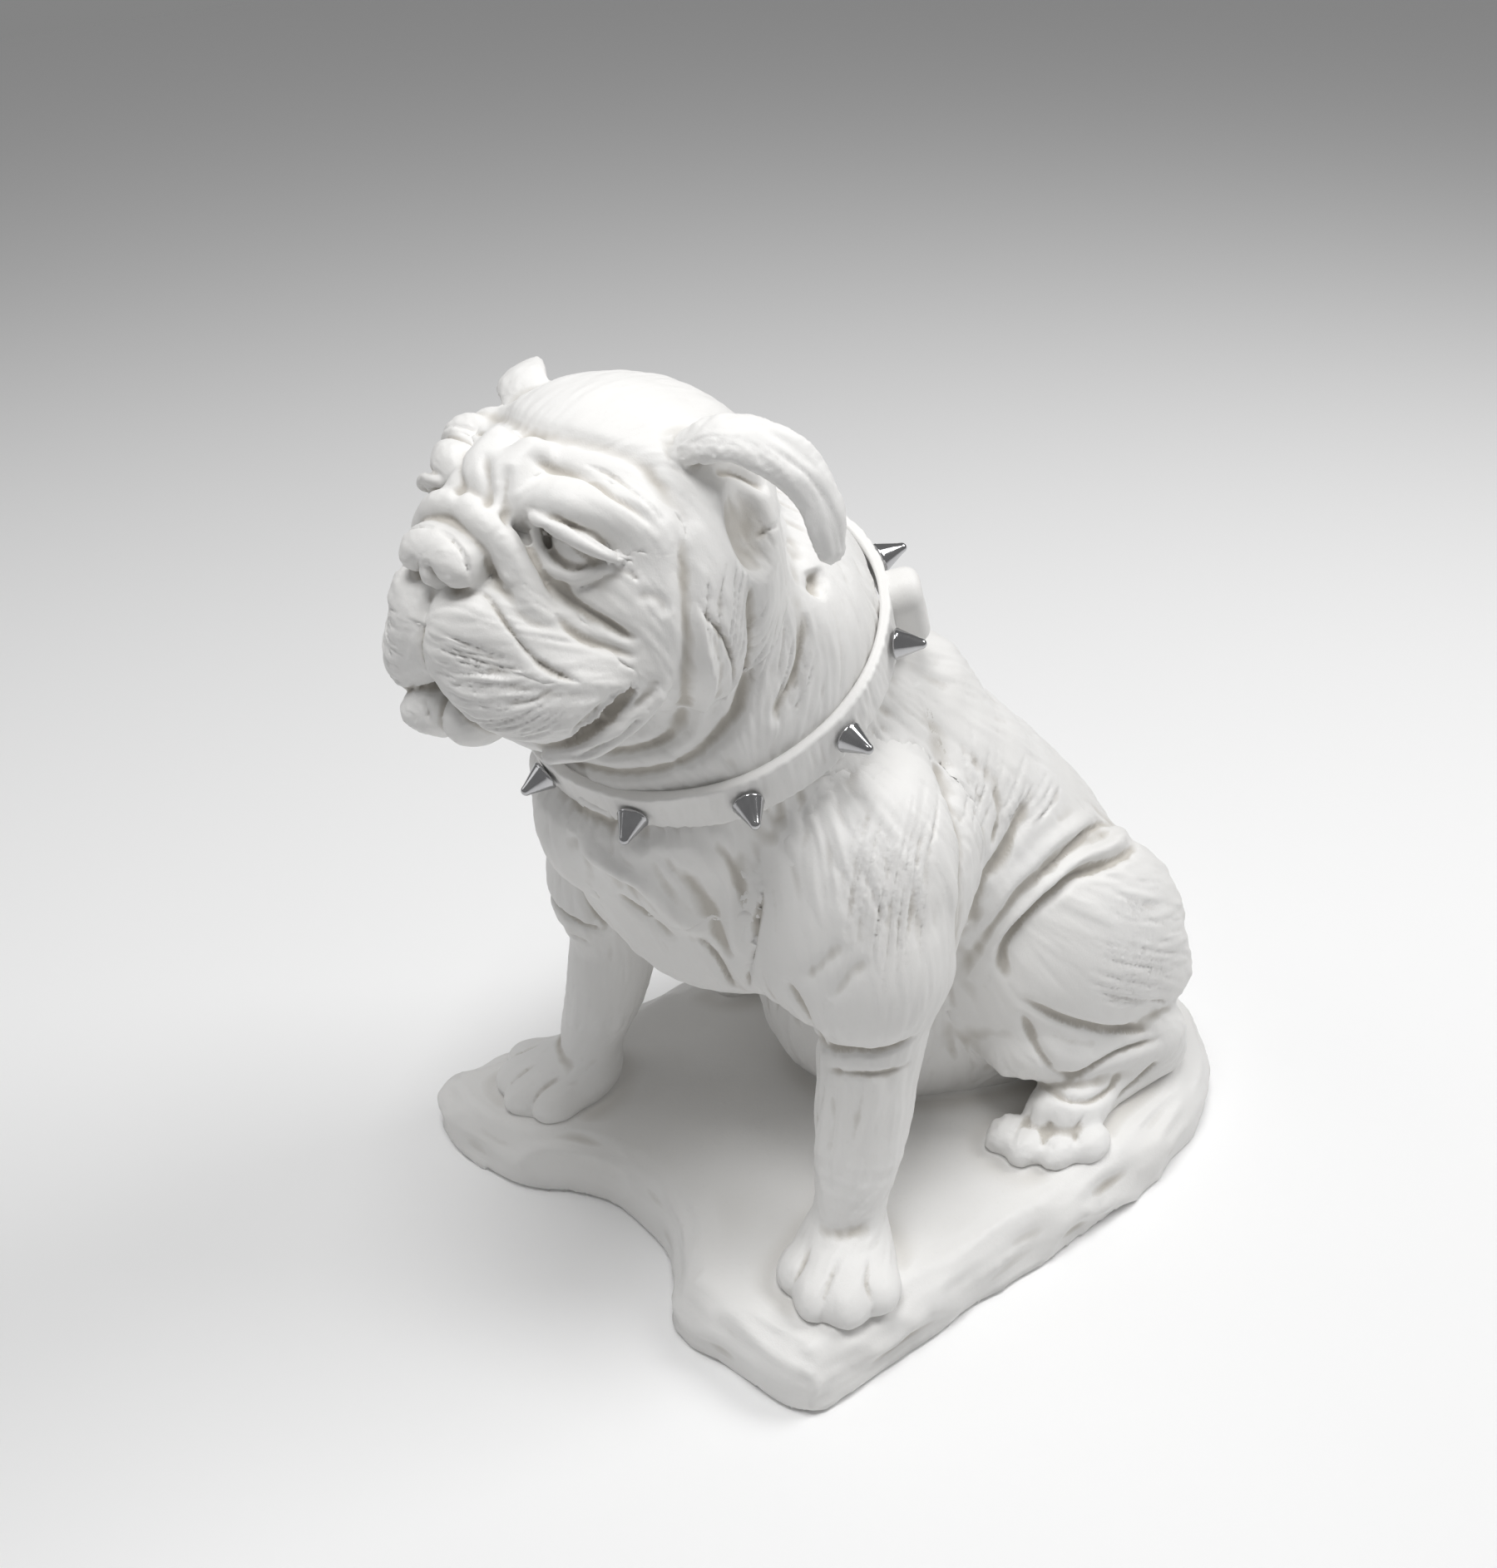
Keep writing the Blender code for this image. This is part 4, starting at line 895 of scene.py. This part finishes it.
def laid_on(frames, points, quads, turns, reach):
    """The points moved along their normals to the clay's skin, no further than reach in each turn."""
    mesh = new_mesh("skin", points, quads)
    groups = heaps(points)
    for _ in range(turns):
        depth = np.clip(field(frames, points, groups), -reach, reach)
        points = points - vertex_normals(mesh) * depth[:, None]
        mesh.vertices.foreach_set("co", points.astype(np.float32).ravel())
        mesh.update()
    normals = vertex_normals(mesh)
    bpy.data.meshes.remove(mesh)
    return points, normals


def skin_of(frames, blanks, grain, wanted):
    """The clay's skin as one even mesh of quads, where wanted(points) is true. The blanks reach all over it."""
    mesh = changed(blank_mesh(blanks), "REMESH", mode="VOXEL", voxel_size=2 * grain, adaptivity=0)
    points, quads = positions(mesh), corners(mesh)
    points, quads = kept_part(points, quads, wanted(points[quads].mean(axis=1)))
    bpy.data.meshes.remove(mesh)
    points, _ = laid_on(frames, points, quads, 5, 0.5)
    points, quads = split_quads(points.astype(np.float32).astype(float), quads)
    points, normals = laid_on(frames, points, quads, 2, 0.2)
    return points, normals, quads


def eased(values, quads, turns):
    """Rows of values at the points, averaged this many times with their neighbours' rows."""
    size = len(values)
    pairs = np.vstack([quads[:, (0, 1)], quads[:, (1, 2)], quads[:, (2, 3)], quads[:, (3, 0)]])
    count = np.bincount(pairs[:, 0], minlength=size) + np.bincount(pairs[:, 1], minlength=size)
    for _ in range(turns):
        total = np.empty_like(values)
        for axis in range(values.shape[1]):
            column = values[:, axis]
            total[:, axis] = np.bincount(pairs[:, 0], column[pairs[:, 1]], size)
            total[:, axis] += np.bincount(pairs[:, 1], column[pairs[:, 0]], size)
        values = total / np.maximum(count, 1)[:, None]
    return values


def hollowness(points, normals, quads, turns):
    """How far each point lies under its smoothed surroundings: over 0 in a hollow, under 0 on a crest."""
    depth = ((eased(points, quads, turns) - points) * normals).sum(axis=1)
    return eased(depth[:, None], quads, 2)[:, 0]


def untangled(points, normals, quads):
    """The points, where faces have folded over in a tight crease laid back among their neighbours."""
    for _ in range(3):
        faces = np.cross(points[quads[:, 2]] - points[quads[:, 0]], points[quads[:, 3]] - points[quads[:, 1]])
        faces /= np.maximum(np.linalg.norm(faces, axis=1), 1e-9)[:, None]
        folded = (faces * normals[quads].mean(axis=1)).sum(axis=1) < 0.3
        spots = np.zeros((len(points), 1))
        spots[quads[folded]] = 1
        share = np.clip(eased(spots, quads, 3) * 4, 0, 1)
        points = points + (eased(points, quads, 3) - points) * share
    return points


def carved_skin(frames, blanks, grain, wanted, combed):
    """The finished skin of one part of the dog: points, normals, quads and how hollow each point lies."""
    points, normals, quads = skin_of(frames, blanks, grain, wanted)
    normals = eased(normals, quads, 6)
    normals /= np.maximum(np.linalg.norm(normals, axis=1), 1e-6)[:, None]
    skin = Skin(points, normals)
    sunk = carve(frames, skin)
    points = points - normals * sunk[:, None]
    lattice = Lattice(12)
    hand = sum(lattice.at(points / wide + start) * high for wide, start, high in HAND)
    way, force = lie_of_coat(points, normals)
    # The comb is pressed harder in some patches than in others.
    patch = np.clip(0.75 + 0.6 * lattice.at(points / 3.1 + 5), 0.15, 1.4)
    hair = 0.0
    for wide, long, deep, seed in COMBS:
        hair += (np.abs(comb(points, way, wide, long, seed, 15)) - 0.4) * deep
    points = points + normals * (hand + hair * force * patch * combed)[:, None]
    points = untangled(points, normals, quads)
    normals = normals_of(points, quads)
    # How hollow each point lies, near and wide, which the material paints as shade.
    near, far = hollowness(points, normals, quads, 8), hollowness(points, normals, quads, 60)
    return points, normals, quads, near + WIDE_HOLLOWS * far


# Materials.


class Value:
    """A shader socket, so that shader maths reads as sums."""

    def __init__(self, board, socket):
        self.board, self.socket = board, socket

    def sum(self, operation, *others):
        return self.board.node("ShaderNodeMath", {"operation": operation}, dict(enumerate((self, *others))))

    def __add__(self, other):
        return self.sum("ADD", other)

    def __sub__(self, other):
        return self.sum("SUBTRACT", other)

    def __mul__(self, other):
        return self.sum("MULTIPLY", other)

    def __radd__(self, other):
        return self + other

    def __rmul__(self, other):
        return self * other

    def __rsub__(self, other):
        return self.board.node("ShaderNodeMath", {"operation": "SUBTRACT"}, {0: other, 1: self})

    def clamped(self, low=0.0, high=1.0):
        return self.sum("MAXIMUM", low).sum("MINIMUM", high)


class Board:
    """One material's nodes."""

    def __init__(self, name):
        self.material = bpy.data.materials.new(name)
        self.material.use_nodes = True
        self.tree = self.material.node_tree
        self.shader = self.tree.nodes["Principled BSDF"]

    def put(self, socket, value):
        if isinstance(value, Value):
            self.tree.links.new(value.socket, socket)
        else:
            socket.default_value = value

    def node(self, kind, settings=None, inputs=None, output=0):
        made = self.tree.nodes.new(kind)
        for key, value in (settings or {}).items():
            setattr(made, key, value)
        for key, value in (inputs or {}).items():
            self.put(made.inputs[key], value)
        return Value(self, made.outputs[output])

    def mix(self, share, first, second):
        """A colour between two colours: the node's inputs 6 and 7 and its output 2."""
        return self.node("ShaderNodeMix", {"data_type": "RGBA"}, {0: share, 6: first, 7: second}, output=2)

    def noise(self, place, scale, detail=3.0, rough=0.55):
        return self.node("ShaderNodeTexNoise", {}, {"Vector": place, "Scale": scale, "Detail": detail,
                                                    "Roughness": rough})

    def finish(self, **sockets):
        for key, value in sockets.items():
            self.put(self.shader.inputs[key.replace("_", " ")], value)
        return self.material


def cast_white():
    """White cast: chalky and matte, with a faint satin skin, painted warm grey shade in the hollows and creases, and
    brush marks.
    """
    board = Board("cast_white_finish")
    place = board.node("ShaderNodeTexCoord", output="Object")
    hollow = board.node("ShaderNodeAttribute", {"attribute_name": "hollow"}, output="Fac")
    cloud = board.noise(place, 14.0, 4.0)
    fine = board.noise(place, 420.0, 3.0)
    grain = board.noise(place, 1600.0, 2.0)
    # Painted shade: the colour turns warm grey where the skin lies in a hollow or crease, where shade would fall.
    deep = ((hollow + (cloud - 0.5) * 0.2) * 0.8).clamped()
    white = board.mix((cloud * 1.6 - 0.3).clamped(), (0.775, 0.765, 0.745, 1), (0.83, 0.825, 0.815, 1))
    shade = board.mix(deep, white, (0.47, 0.44, 0.39, 1))
    colour = board.mix(((fine - 0.62) * 3).clamped() * 0.35, shade, (0.66, 0.65, 0.62, 1))
    rough = 0.46 + cloud * 0.14 + deep * 0.2
    height = fine * 0.6 + grain * 0.4
    bump = board.node("ShaderNodeBump", {}, {"Strength": 0.35, "Distance": 0.0004, "Height": height}, output="Normal")
    return board.finish(Base_Color=colour, Roughness=rough, Normal=bump, IOR=1.48)


def spike_metal():
    """Polished dark chrome with fine turning marks and an uneven, smeared tone."""
    board = Board("spike_metal_finish")
    place = board.node("ShaderNodeTexCoord", output="Object")
    turned = board.node("ShaderNodeTexNoise", {}, {"Vector": place, "Scale": 260.0, "Detail": 2.0})
    smear = board.noise(place, 90.0, 3.0)
    colour = board.mix(smear, (0.36, 0.36, 0.37, 1), (0.62, 0.62, 0.63, 1))
    rough = 0.07 + smear * 0.1
    bump = board.node("ShaderNodeBump", {}, {"Strength": 0.05, "Distance": 0.0002, "Height": turned}, output="Normal")
    return board.finish(Base_Color=colour, Metallic=1.0, Roughness=rough, Normal=bump)


# Pieces.


def shown(name, mesh, material, nodes):
    """Puts a mesh in the scene as a piece that stands for these nodes."""
    obj = bpy.data.objects.new(name, mesh)
    bpy.context.scene.collection.objects.link(obj)
    mesh.materials.clear()
    mesh.materials.append(material)
    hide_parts(*nodes)
    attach(obj, "root")
    return obj


def skin_pieces(name, points, normals, quads, hollow, material):
    """Splits a skin into pieces of a fair size, front to back, that shade as one."""
    count = math.ceil(len(quads) / MOST_FACES)
    order = np.argsort(points[quads].mean(axis=1)[:, 1], kind="stable")
    for number, numbers in enumerate(np.array_split(order, count), 1):
        used, flat = np.unique(quads[numbers], return_inverse=True)
        place = points[used] * UNIT + (0, 0, BASE_THICK)
        mesh = new_mesh(f"{name}_{number}", place, flat.reshape(-1, 4))
        # The hollow attribute sets how much painted shade the material lays on each point.
        shade = mesh.attributes.new("hollow", "FLOAT", "POINT")
        shade.data.foreach_set("value", np.clip(hollow[used] / FULL_PAINTED_SHADE, -1, 1).astype(np.float32))
        mesh.polygons.foreach_set("use_smooth", np.ones(len(mesh.polygons), bool))
        mesh.normals_split_custom_set_from_vertices(normals[used].tolist())
        shown(f"{name}_{number}", mesh, material, ["bulldog"])


def above_collar(points):
    """True above the middle of the collar."""
    turn = np.array(Euler(np.radians(COLLAR_TURN)).to_matrix())
    return ((points - COLLAR_AT) @ turn)[:, 2] > 0


def fore_part(points):
    """True below the middle of the collar, in the front of the body."""
    return ~above_collar(points) & (points[:, 2] > SKIN_FROM) & (points[:, 1] < FORE_END)


def hind_part(points):
    """True in the rest of the body, which laps the front a little."""
    return ~above_collar(points) & (points[:, 2] > SKIN_FROM) & (points[:, 1] > HIND_START)


def dog(material):
    """The dog as three skins that lap under the collar and at the flank."""
    frames = figure()
    parts = (("head", frames[2:], HEAD_GRAIN, above_collar, 0.8), ("fore", frames[:3], FORE_GRAIN, fore_part, 1.1),
             ("hind", frames[:3], HIND_GRAIN, hind_part, 1.0))
    for name, blanks, grain, wanted, combed in parts:
        skin_pieces(name, *carved_skin(frames, blanks, grain / 2, wanted, combed), material)
    return frames


def base_outline():
    """The edge of the base, from its right front corner round by the dog's left side."""
    return [
        (-14.6, -14.6), (-13.2, -15.8), (-10.6, -16.1), (-8.0, -15.7), (-5.6, -14.2), (-3.2, -13.4),
        (-0.8, -13.6), (1.3, -14.3), (2.9, -15.7), (4.2, -16.9), (8.6, -16.8), (10.9, -16.3),
        (11.7, -14.6), (12.7, -10.0), (14.0, -5.0), (15.2, -0.5), (16.0, 4.0), (16.0, 8.0),
        (15.0, 11.4), (12.4, 14.2), (8.6, 15.8), (4.6, 16.0), (0.6, 14.8), (-3.2, 12.4),
        (-6.2, 9.2), (-8.2, 5.2), (-9.4, 1.0), (-10.4, -3.0), (-12.0, -8.2), (-13.8, -12.0),
    ]


def base(frames, material):
    """The base: its carved rim and its smoothed top, with the clay drawn up a little round the feet."""
    edge = np.array(base_outline())
    loop = smooth(np.vstack([edge[-1:], edge, edge[:2]]), steps=4)[4:-4][:-1]
    body = bmesh.new()
    under = body.faces.new([body.verts.new((x, y, UNDERSIDE)) for x, y in loop])
    bmesh.ops.recalc_face_normals(body, faces=[under])
    if under.normal.z > 0:
        under.normal_flip()
    raised = bmesh.ops.extrude_face_region(body, geom=[under])
    top = [item for item in raised["geom"] if isinstance(item, bmesh.types.BMVert)]
    bmesh.ops.translate(body, verts=top, vec=(0, 0, -UNDERSIDE))
    rim = [line for line in body.edges if all(vert in set(top) for vert in line.verts)]
    bmesh.ops.bevel(body, geom=rim, offset=RIM_BEVEL, segments=2, profile=0.3, affect="EDGES")
    bmesh.ops.recalc_face_normals(body, faces=body.faces[:])
    mesh = bpy.data.meshes.new("base")
    body.to_mesh(mesh)
    body.free()
    points, normals, quads = parts_of(changed(mesh, "REMESH", mode="VOXEL", voxel_size=BASE_GRAIN, adaptivity=0))
    lattice = Lattice(31)
    steep = np.clip(1 - np.abs(normals[:, 2]), 0, 1)
    under_side = points[:, 2] < UNDERSIDE + 0.1
    around = np.cross(normals, (0, 0, 1.0))
    around /= np.maximum(np.linalg.norm(around, axis=1), 1e-6)[:, None]
    cut = sum(np.abs(comb(points, around, wide, long, seed)) * deep for wide, long, deep, seed in KNIVES)
    move = (RIM_OUT - cut) * np.clip(steep * 3, 0, 1) + lattice.at(points / 3.0 + 3) * 0.035
    level = np.abs(normals[:, 2]) > 0.8
    near = field(frames, points, margin=2.0)
    lift = np.where(level & ~under_side & (near > -0.6), np.clip(0.7 - near, 0, 1.3) ** 2 * 0.28, 0)
    points = points + normals * np.where(under_side, 0, move)[:, None]
    points[:, 2] += lift
    points[:, 2] = np.maximum(points[:, 2], UNDERSIDE)
    normals = normals_of(points, quads)
    skin_pieces("base", points, normals, quads, hollowness(points, normals, quads, 10), material)


def collar_place():
    place = Matrix.Translation(Vector(COLLAR_AT) * UNIT + Vector((0, 0, BASE_THICK)))
    return place @ Euler([math.radians(angle) for angle in COLLAR_TURN]).to_matrix().to_4x4()


def on_collar(angle, outward=0.0):
    """The place on the band's outer face at this angle, with +Z pointing straight out of it."""
    turn = math.radians(angle)
    away = Vector((math.sin(turn) * COLLAR_SIDE, -math.cos(turn) * COLLAR_FRONT, 0)) * UNIT
    normal = Vector((math.sin(turn) / COLLAR_SIDE, -math.cos(turn) / COLLAR_FRONT, 0)).normalized()
    return Matrix.Translation(away + normal * outward) @ normal.to_track_quat("Z", "X").to_matrix().to_4x4()


def collar(material):
    """The moulded band: a flat face with upright brush marks, softened edges and a slightly wavy ledge."""
    across, half, thick = 720, COLLAR_WIDE / UNIT / 2, COLLAR_THICK / UNIT
    section = [(-thick, -half), (-0.16, -half)]
    section += [(-0.16 + 0.16 * math.sin(t), -half + 0.16 - 0.16 * math.cos(t)) for t in np.radians((30, 60, 90))]
    section += [(0, z) for z in np.linspace(-half + 0.26, half - 0.26, 14)]
    section += [(-0.12 + 0.12 * math.cos(t), half - 0.12 + 0.12 * math.sin(t)) for t in np.radians((0, 30, 60, 90))]
    section += [(-0.2, half), (-0.3, half), (-thick, half), (-thick, half / 2), (-thick, -half / 2)]
    section = np.array(section)
    turn = np.linspace(0, math.tau, across, endpoint=False)
    ring = np.column_stack([np.sin(turn) * COLLAR_SIDE, -np.cos(turn) * COLLAR_FRONT])
    out = np.column_stack([np.sin(turn) / COLLAR_SIDE, -np.cos(turn) / COLLAR_FRONT])
    out /= np.linalg.norm(out, axis=1)[:, None]
    points = np.empty((across, len(section), 3))
    points[:, :, :2] = ring[:, None] + out[:, None] * section[None, :, 0, None]
    points[:, :, 2] = section[None, :, 1]
    facing = np.zeros_like(points)
    facing[:, :, :2] = out[:, None]
    flat, away = points.reshape(-1, 3), facing.reshape(-1, 3)
    lattice = Lattice(51)
    brushed = comb(flat, np.tile((0.12, 0, 1.0), (len(flat), 1)), 0.2, 0.9, 52) * 0.028
    face = np.clip((np.tile(section[:, 0], across) + 0.3) / 0.25, 0, 1)
    move = (brushed + lattice.at(flat / 1.7) * 0.06) * face
    rise = lattice.at(flat / 2.2 + 4) * 0.07 * np.sign(flat[:, 2])
    flat = flat + away * move[:, None]
    flat[:, 2] += rise
    near = np.arange(len(flat)).reshape(across, -1)
    beyond = np.roll(near, -1, axis=0)
    sides = [beyond, np.roll(beyond, -1, axis=1), np.roll(near, -1, axis=1), near]
    quads = np.stack(sides, axis=-1).reshape(-1, 4)
    flat = Frame(COLLAR_AT, COLLAR_TURN).outward(flat)
    normals = normals_of(flat, quads)
    skin_pieces("collar_band", flat, normals, quads, hollowness(flat, normals, quads, 6), material)


def buckle(material):
    """The moulded buckle tab that hangs at the nape: a rounded frame with a sunk face."""
    body = bmesh.new()
    bmesh.ops.create_cube(body, size=1)
    bmesh.ops.scale(body, vec=(TAB_TALL, TAB_WIDE, TAB_THICK), verts=body.verts)
    upright = [line for line in body.edges if abs((line.verts[0].co - line.verts[1].co).z) > TAB_THICK / 2]
    bmesh.ops.bevel(body, geom=upright, offset=0.46 * TAB_WIDE, segments=7, profile=0.5, affect="EDGES")
    face = max(body.faces, key=lambda face: face.calc_center_median().z)
    bmesh.ops.bevel(body, geom=list(face.edges), offset=0.36 * TAB_THICK, segments=4, profile=0.5, affect="EDGES")
    face = max(body.faces, key=lambda face: face.calc_center_median().z)
    bmesh.ops.inset_region(body, faces=[face], thickness=0.12 * TAB_WIDE)
    bmesh.ops.translate(body, verts=face.verts, vec=(0, 0, -TAB_SUNK))
    drop = Matrix.Translation((0, 0, -TAB_DROP))
    place = collar_place() @ drop @ on_collar(TAB_ANGLE, TAB_PROUD - TAB_THICK / 2)
    bmesh.ops.transform(body, matrix=place, verts=body.verts)
    bmesh.ops.recalc_face_normals(body, faces=body.faces[:])
    mesh = bpy.data.meshes.new("buckle_tab")
    body.to_mesh(mesh)
    body.free()
    points, normals, quads = parts_of(changed(mesh, "REMESH", mode="VOXEL", voxel_size=TAB_GRAIN, adaptivity=0))
    points = points / UNIT - (0, 0, BASE_THICK / UNIT)
    lattice = Lattice(61)
    points = points + normals * (lattice.at(points / 0.9) * 0.05)[:, None]
    mesh = changed(new_mesh("look", points, quads), "SMOOTH", factor=0.5, iterations=6)
    points, normals, quads = parts_of(mesh)
    skin_pieces("buckle_tab", points, normals, quads, hollowness(points, normals, quads, 6), material)


def spikes(material):
    """Turned cones with a rounded tip and a chamfered foot."""
    tip, half = 0.0021, SPIKE_DIAMETER / 2
    outline = [(0, 0), (half - 0.0006, 0), (half - 0.0001, 0.0003), (half, 0.0007), (half, 0.0012),
               (half - 0.0003, 0.0016)]
    outline += [(half - 0.0003 - (half - 0.0003 - tip) * t, 0.0016 + (SPIKE_LONG - tip - 0.0016) * t)
                for t in (0.05, 0.3, 0.6, 0.9)]
    outline += [(tip * math.cos(t), SPIKE_LONG - tip + tip * math.sin(t))
                for t in np.radians((10, 25, 40, 55, 70, 82))]
    outline += [(0, SPIKE_LONG)]
    for number in range(SPIKE_COUNT):
        body = bmesh.new()
        points = [body.verts.new((x, 0, z)) for x, z in outline]
        lines = [body.edges.new(pair) for pair in zip(points, points[1:])]
        bmesh.ops.spin(body, geom=points + lines, cent=(0, 0, 0), axis=(0, 0, 1), angle=math.tau, steps=48,
                       use_merge=True)
        bmesh.ops.remove_doubles(body, verts=body.verts, dist=1e-6)
        place = collar_place() @ on_collar(FIRST_SPIKE + 360 / SPIKE_COUNT * number, SEAT_RISE + GAP)
        bmesh.ops.transform(body, matrix=place, verts=body.verts)
        bmesh.ops.recalc_face_normals(body, faces=body.faces[:])
        name = f"spike_{number + 1:02d}"
        mesh = bpy.data.meshes.new(name)
        body.to_mesh(mesh)
        body.free()
        mesh.polygons.foreach_set("use_smooth", np.ones(len(mesh.polygons), bool))
        mesh.set_sharp_from_angle(angle=math.radians(50))
        shown(f"cone_{name}", mesh, material, [name])


# The studio.


def floor():
    sheet = np.array([(-4, -4, 0), (4, -4, 0), (4, 4, 0), (-4, 4, 0)], float)
    mesh = new_mesh("floor", sheet, np.array([(0, 1, 2, 3)]))
    obj = bpy.data.objects.new("floor", mesh)
    bpy.context.scene.collection.objects.link(obj)
    obj.location.z = -0.0005
    board = Board("pale_floor")
    mesh.materials.append(board.finish(Base_Color=(0.93, 0.93, 0.93, 1), Roughness=0.9))


def lamp(name, azimuth, elevation, power, size):
    """A soft square lamp that looks at the statue's middle."""
    turn, rise = math.radians(azimuth), math.radians(elevation)
    away = Vector((math.sin(turn) * math.cos(rise), -math.cos(turn) * math.cos(rise), math.sin(rise)))
    made = bpy.data.lights.new(name, "AREA")
    made.energy, made.size = power, size
    obj = bpy.data.objects.new(name, made)
    bpy.context.scene.collection.objects.link(obj)
    obj.location = Vector((0, 0, 0.2)) + away * LAMPS_FAR
    obj.rotation_euler = (-away).to_track_quat("-Z", "Y").to_euler()


def studio():
    """The pale floor, the grey sky and the lamps."""
    scene = bpy.context.scene
    floor()
    world = bpy.data.worlds.new("studio")
    world.use_nodes = True
    world.node_tree.nodes["Background"].inputs["Color"].default_value = (1, 1, 1, 1)
    world.node_tree.nodes["Background"].inputs["Strength"].default_value = SKY
    scene.world = world
    scene.view_settings.view_transform = "Standard"
    for row in LAMPS:
        lamp(*row)


def camera():
    """The photograph's viewpoint: its angle, distance and tilt."""
    azimuth, elevation, tilt = map(math.radians, VIEW_ANGLES)
    back = Vector((math.sin(azimuth) * math.cos(elevation), -math.cos(azimuth) * math.cos(elevation),
                   math.sin(elevation)))
    right = (-back).cross(Vector((0, 0, 1))).normalized()
    up = right.cross(-back)
    axes = (right * math.cos(tilt) + up * math.sin(tilt), up * math.cos(tilt) - right * math.sin(tilt), back)
    made = bpy.data.cameras.new("viewpoint")
    made.sensor_width = 36
    made.lens = VIEW_LENS
    made.clip_start = 0.01
    obj = bpy.data.objects.new("viewpoint", made)
    bpy.context.scene.collection.objects.link(obj)
    place = Matrix(axes).transposed().to_4x4()
    place.translation = Vector(VIEW_TARGET) + back * VIEW_FAR
    obj.matrix_world = place
    bpy.context.scene.camera = obj


def main():
    white, metal = cast_white(), spike_metal()
    camera()
    frames = dog(white)
    base(frames, white)
    collar(white)
    buckle(white)
    spikes(metal)
    studio()


main()
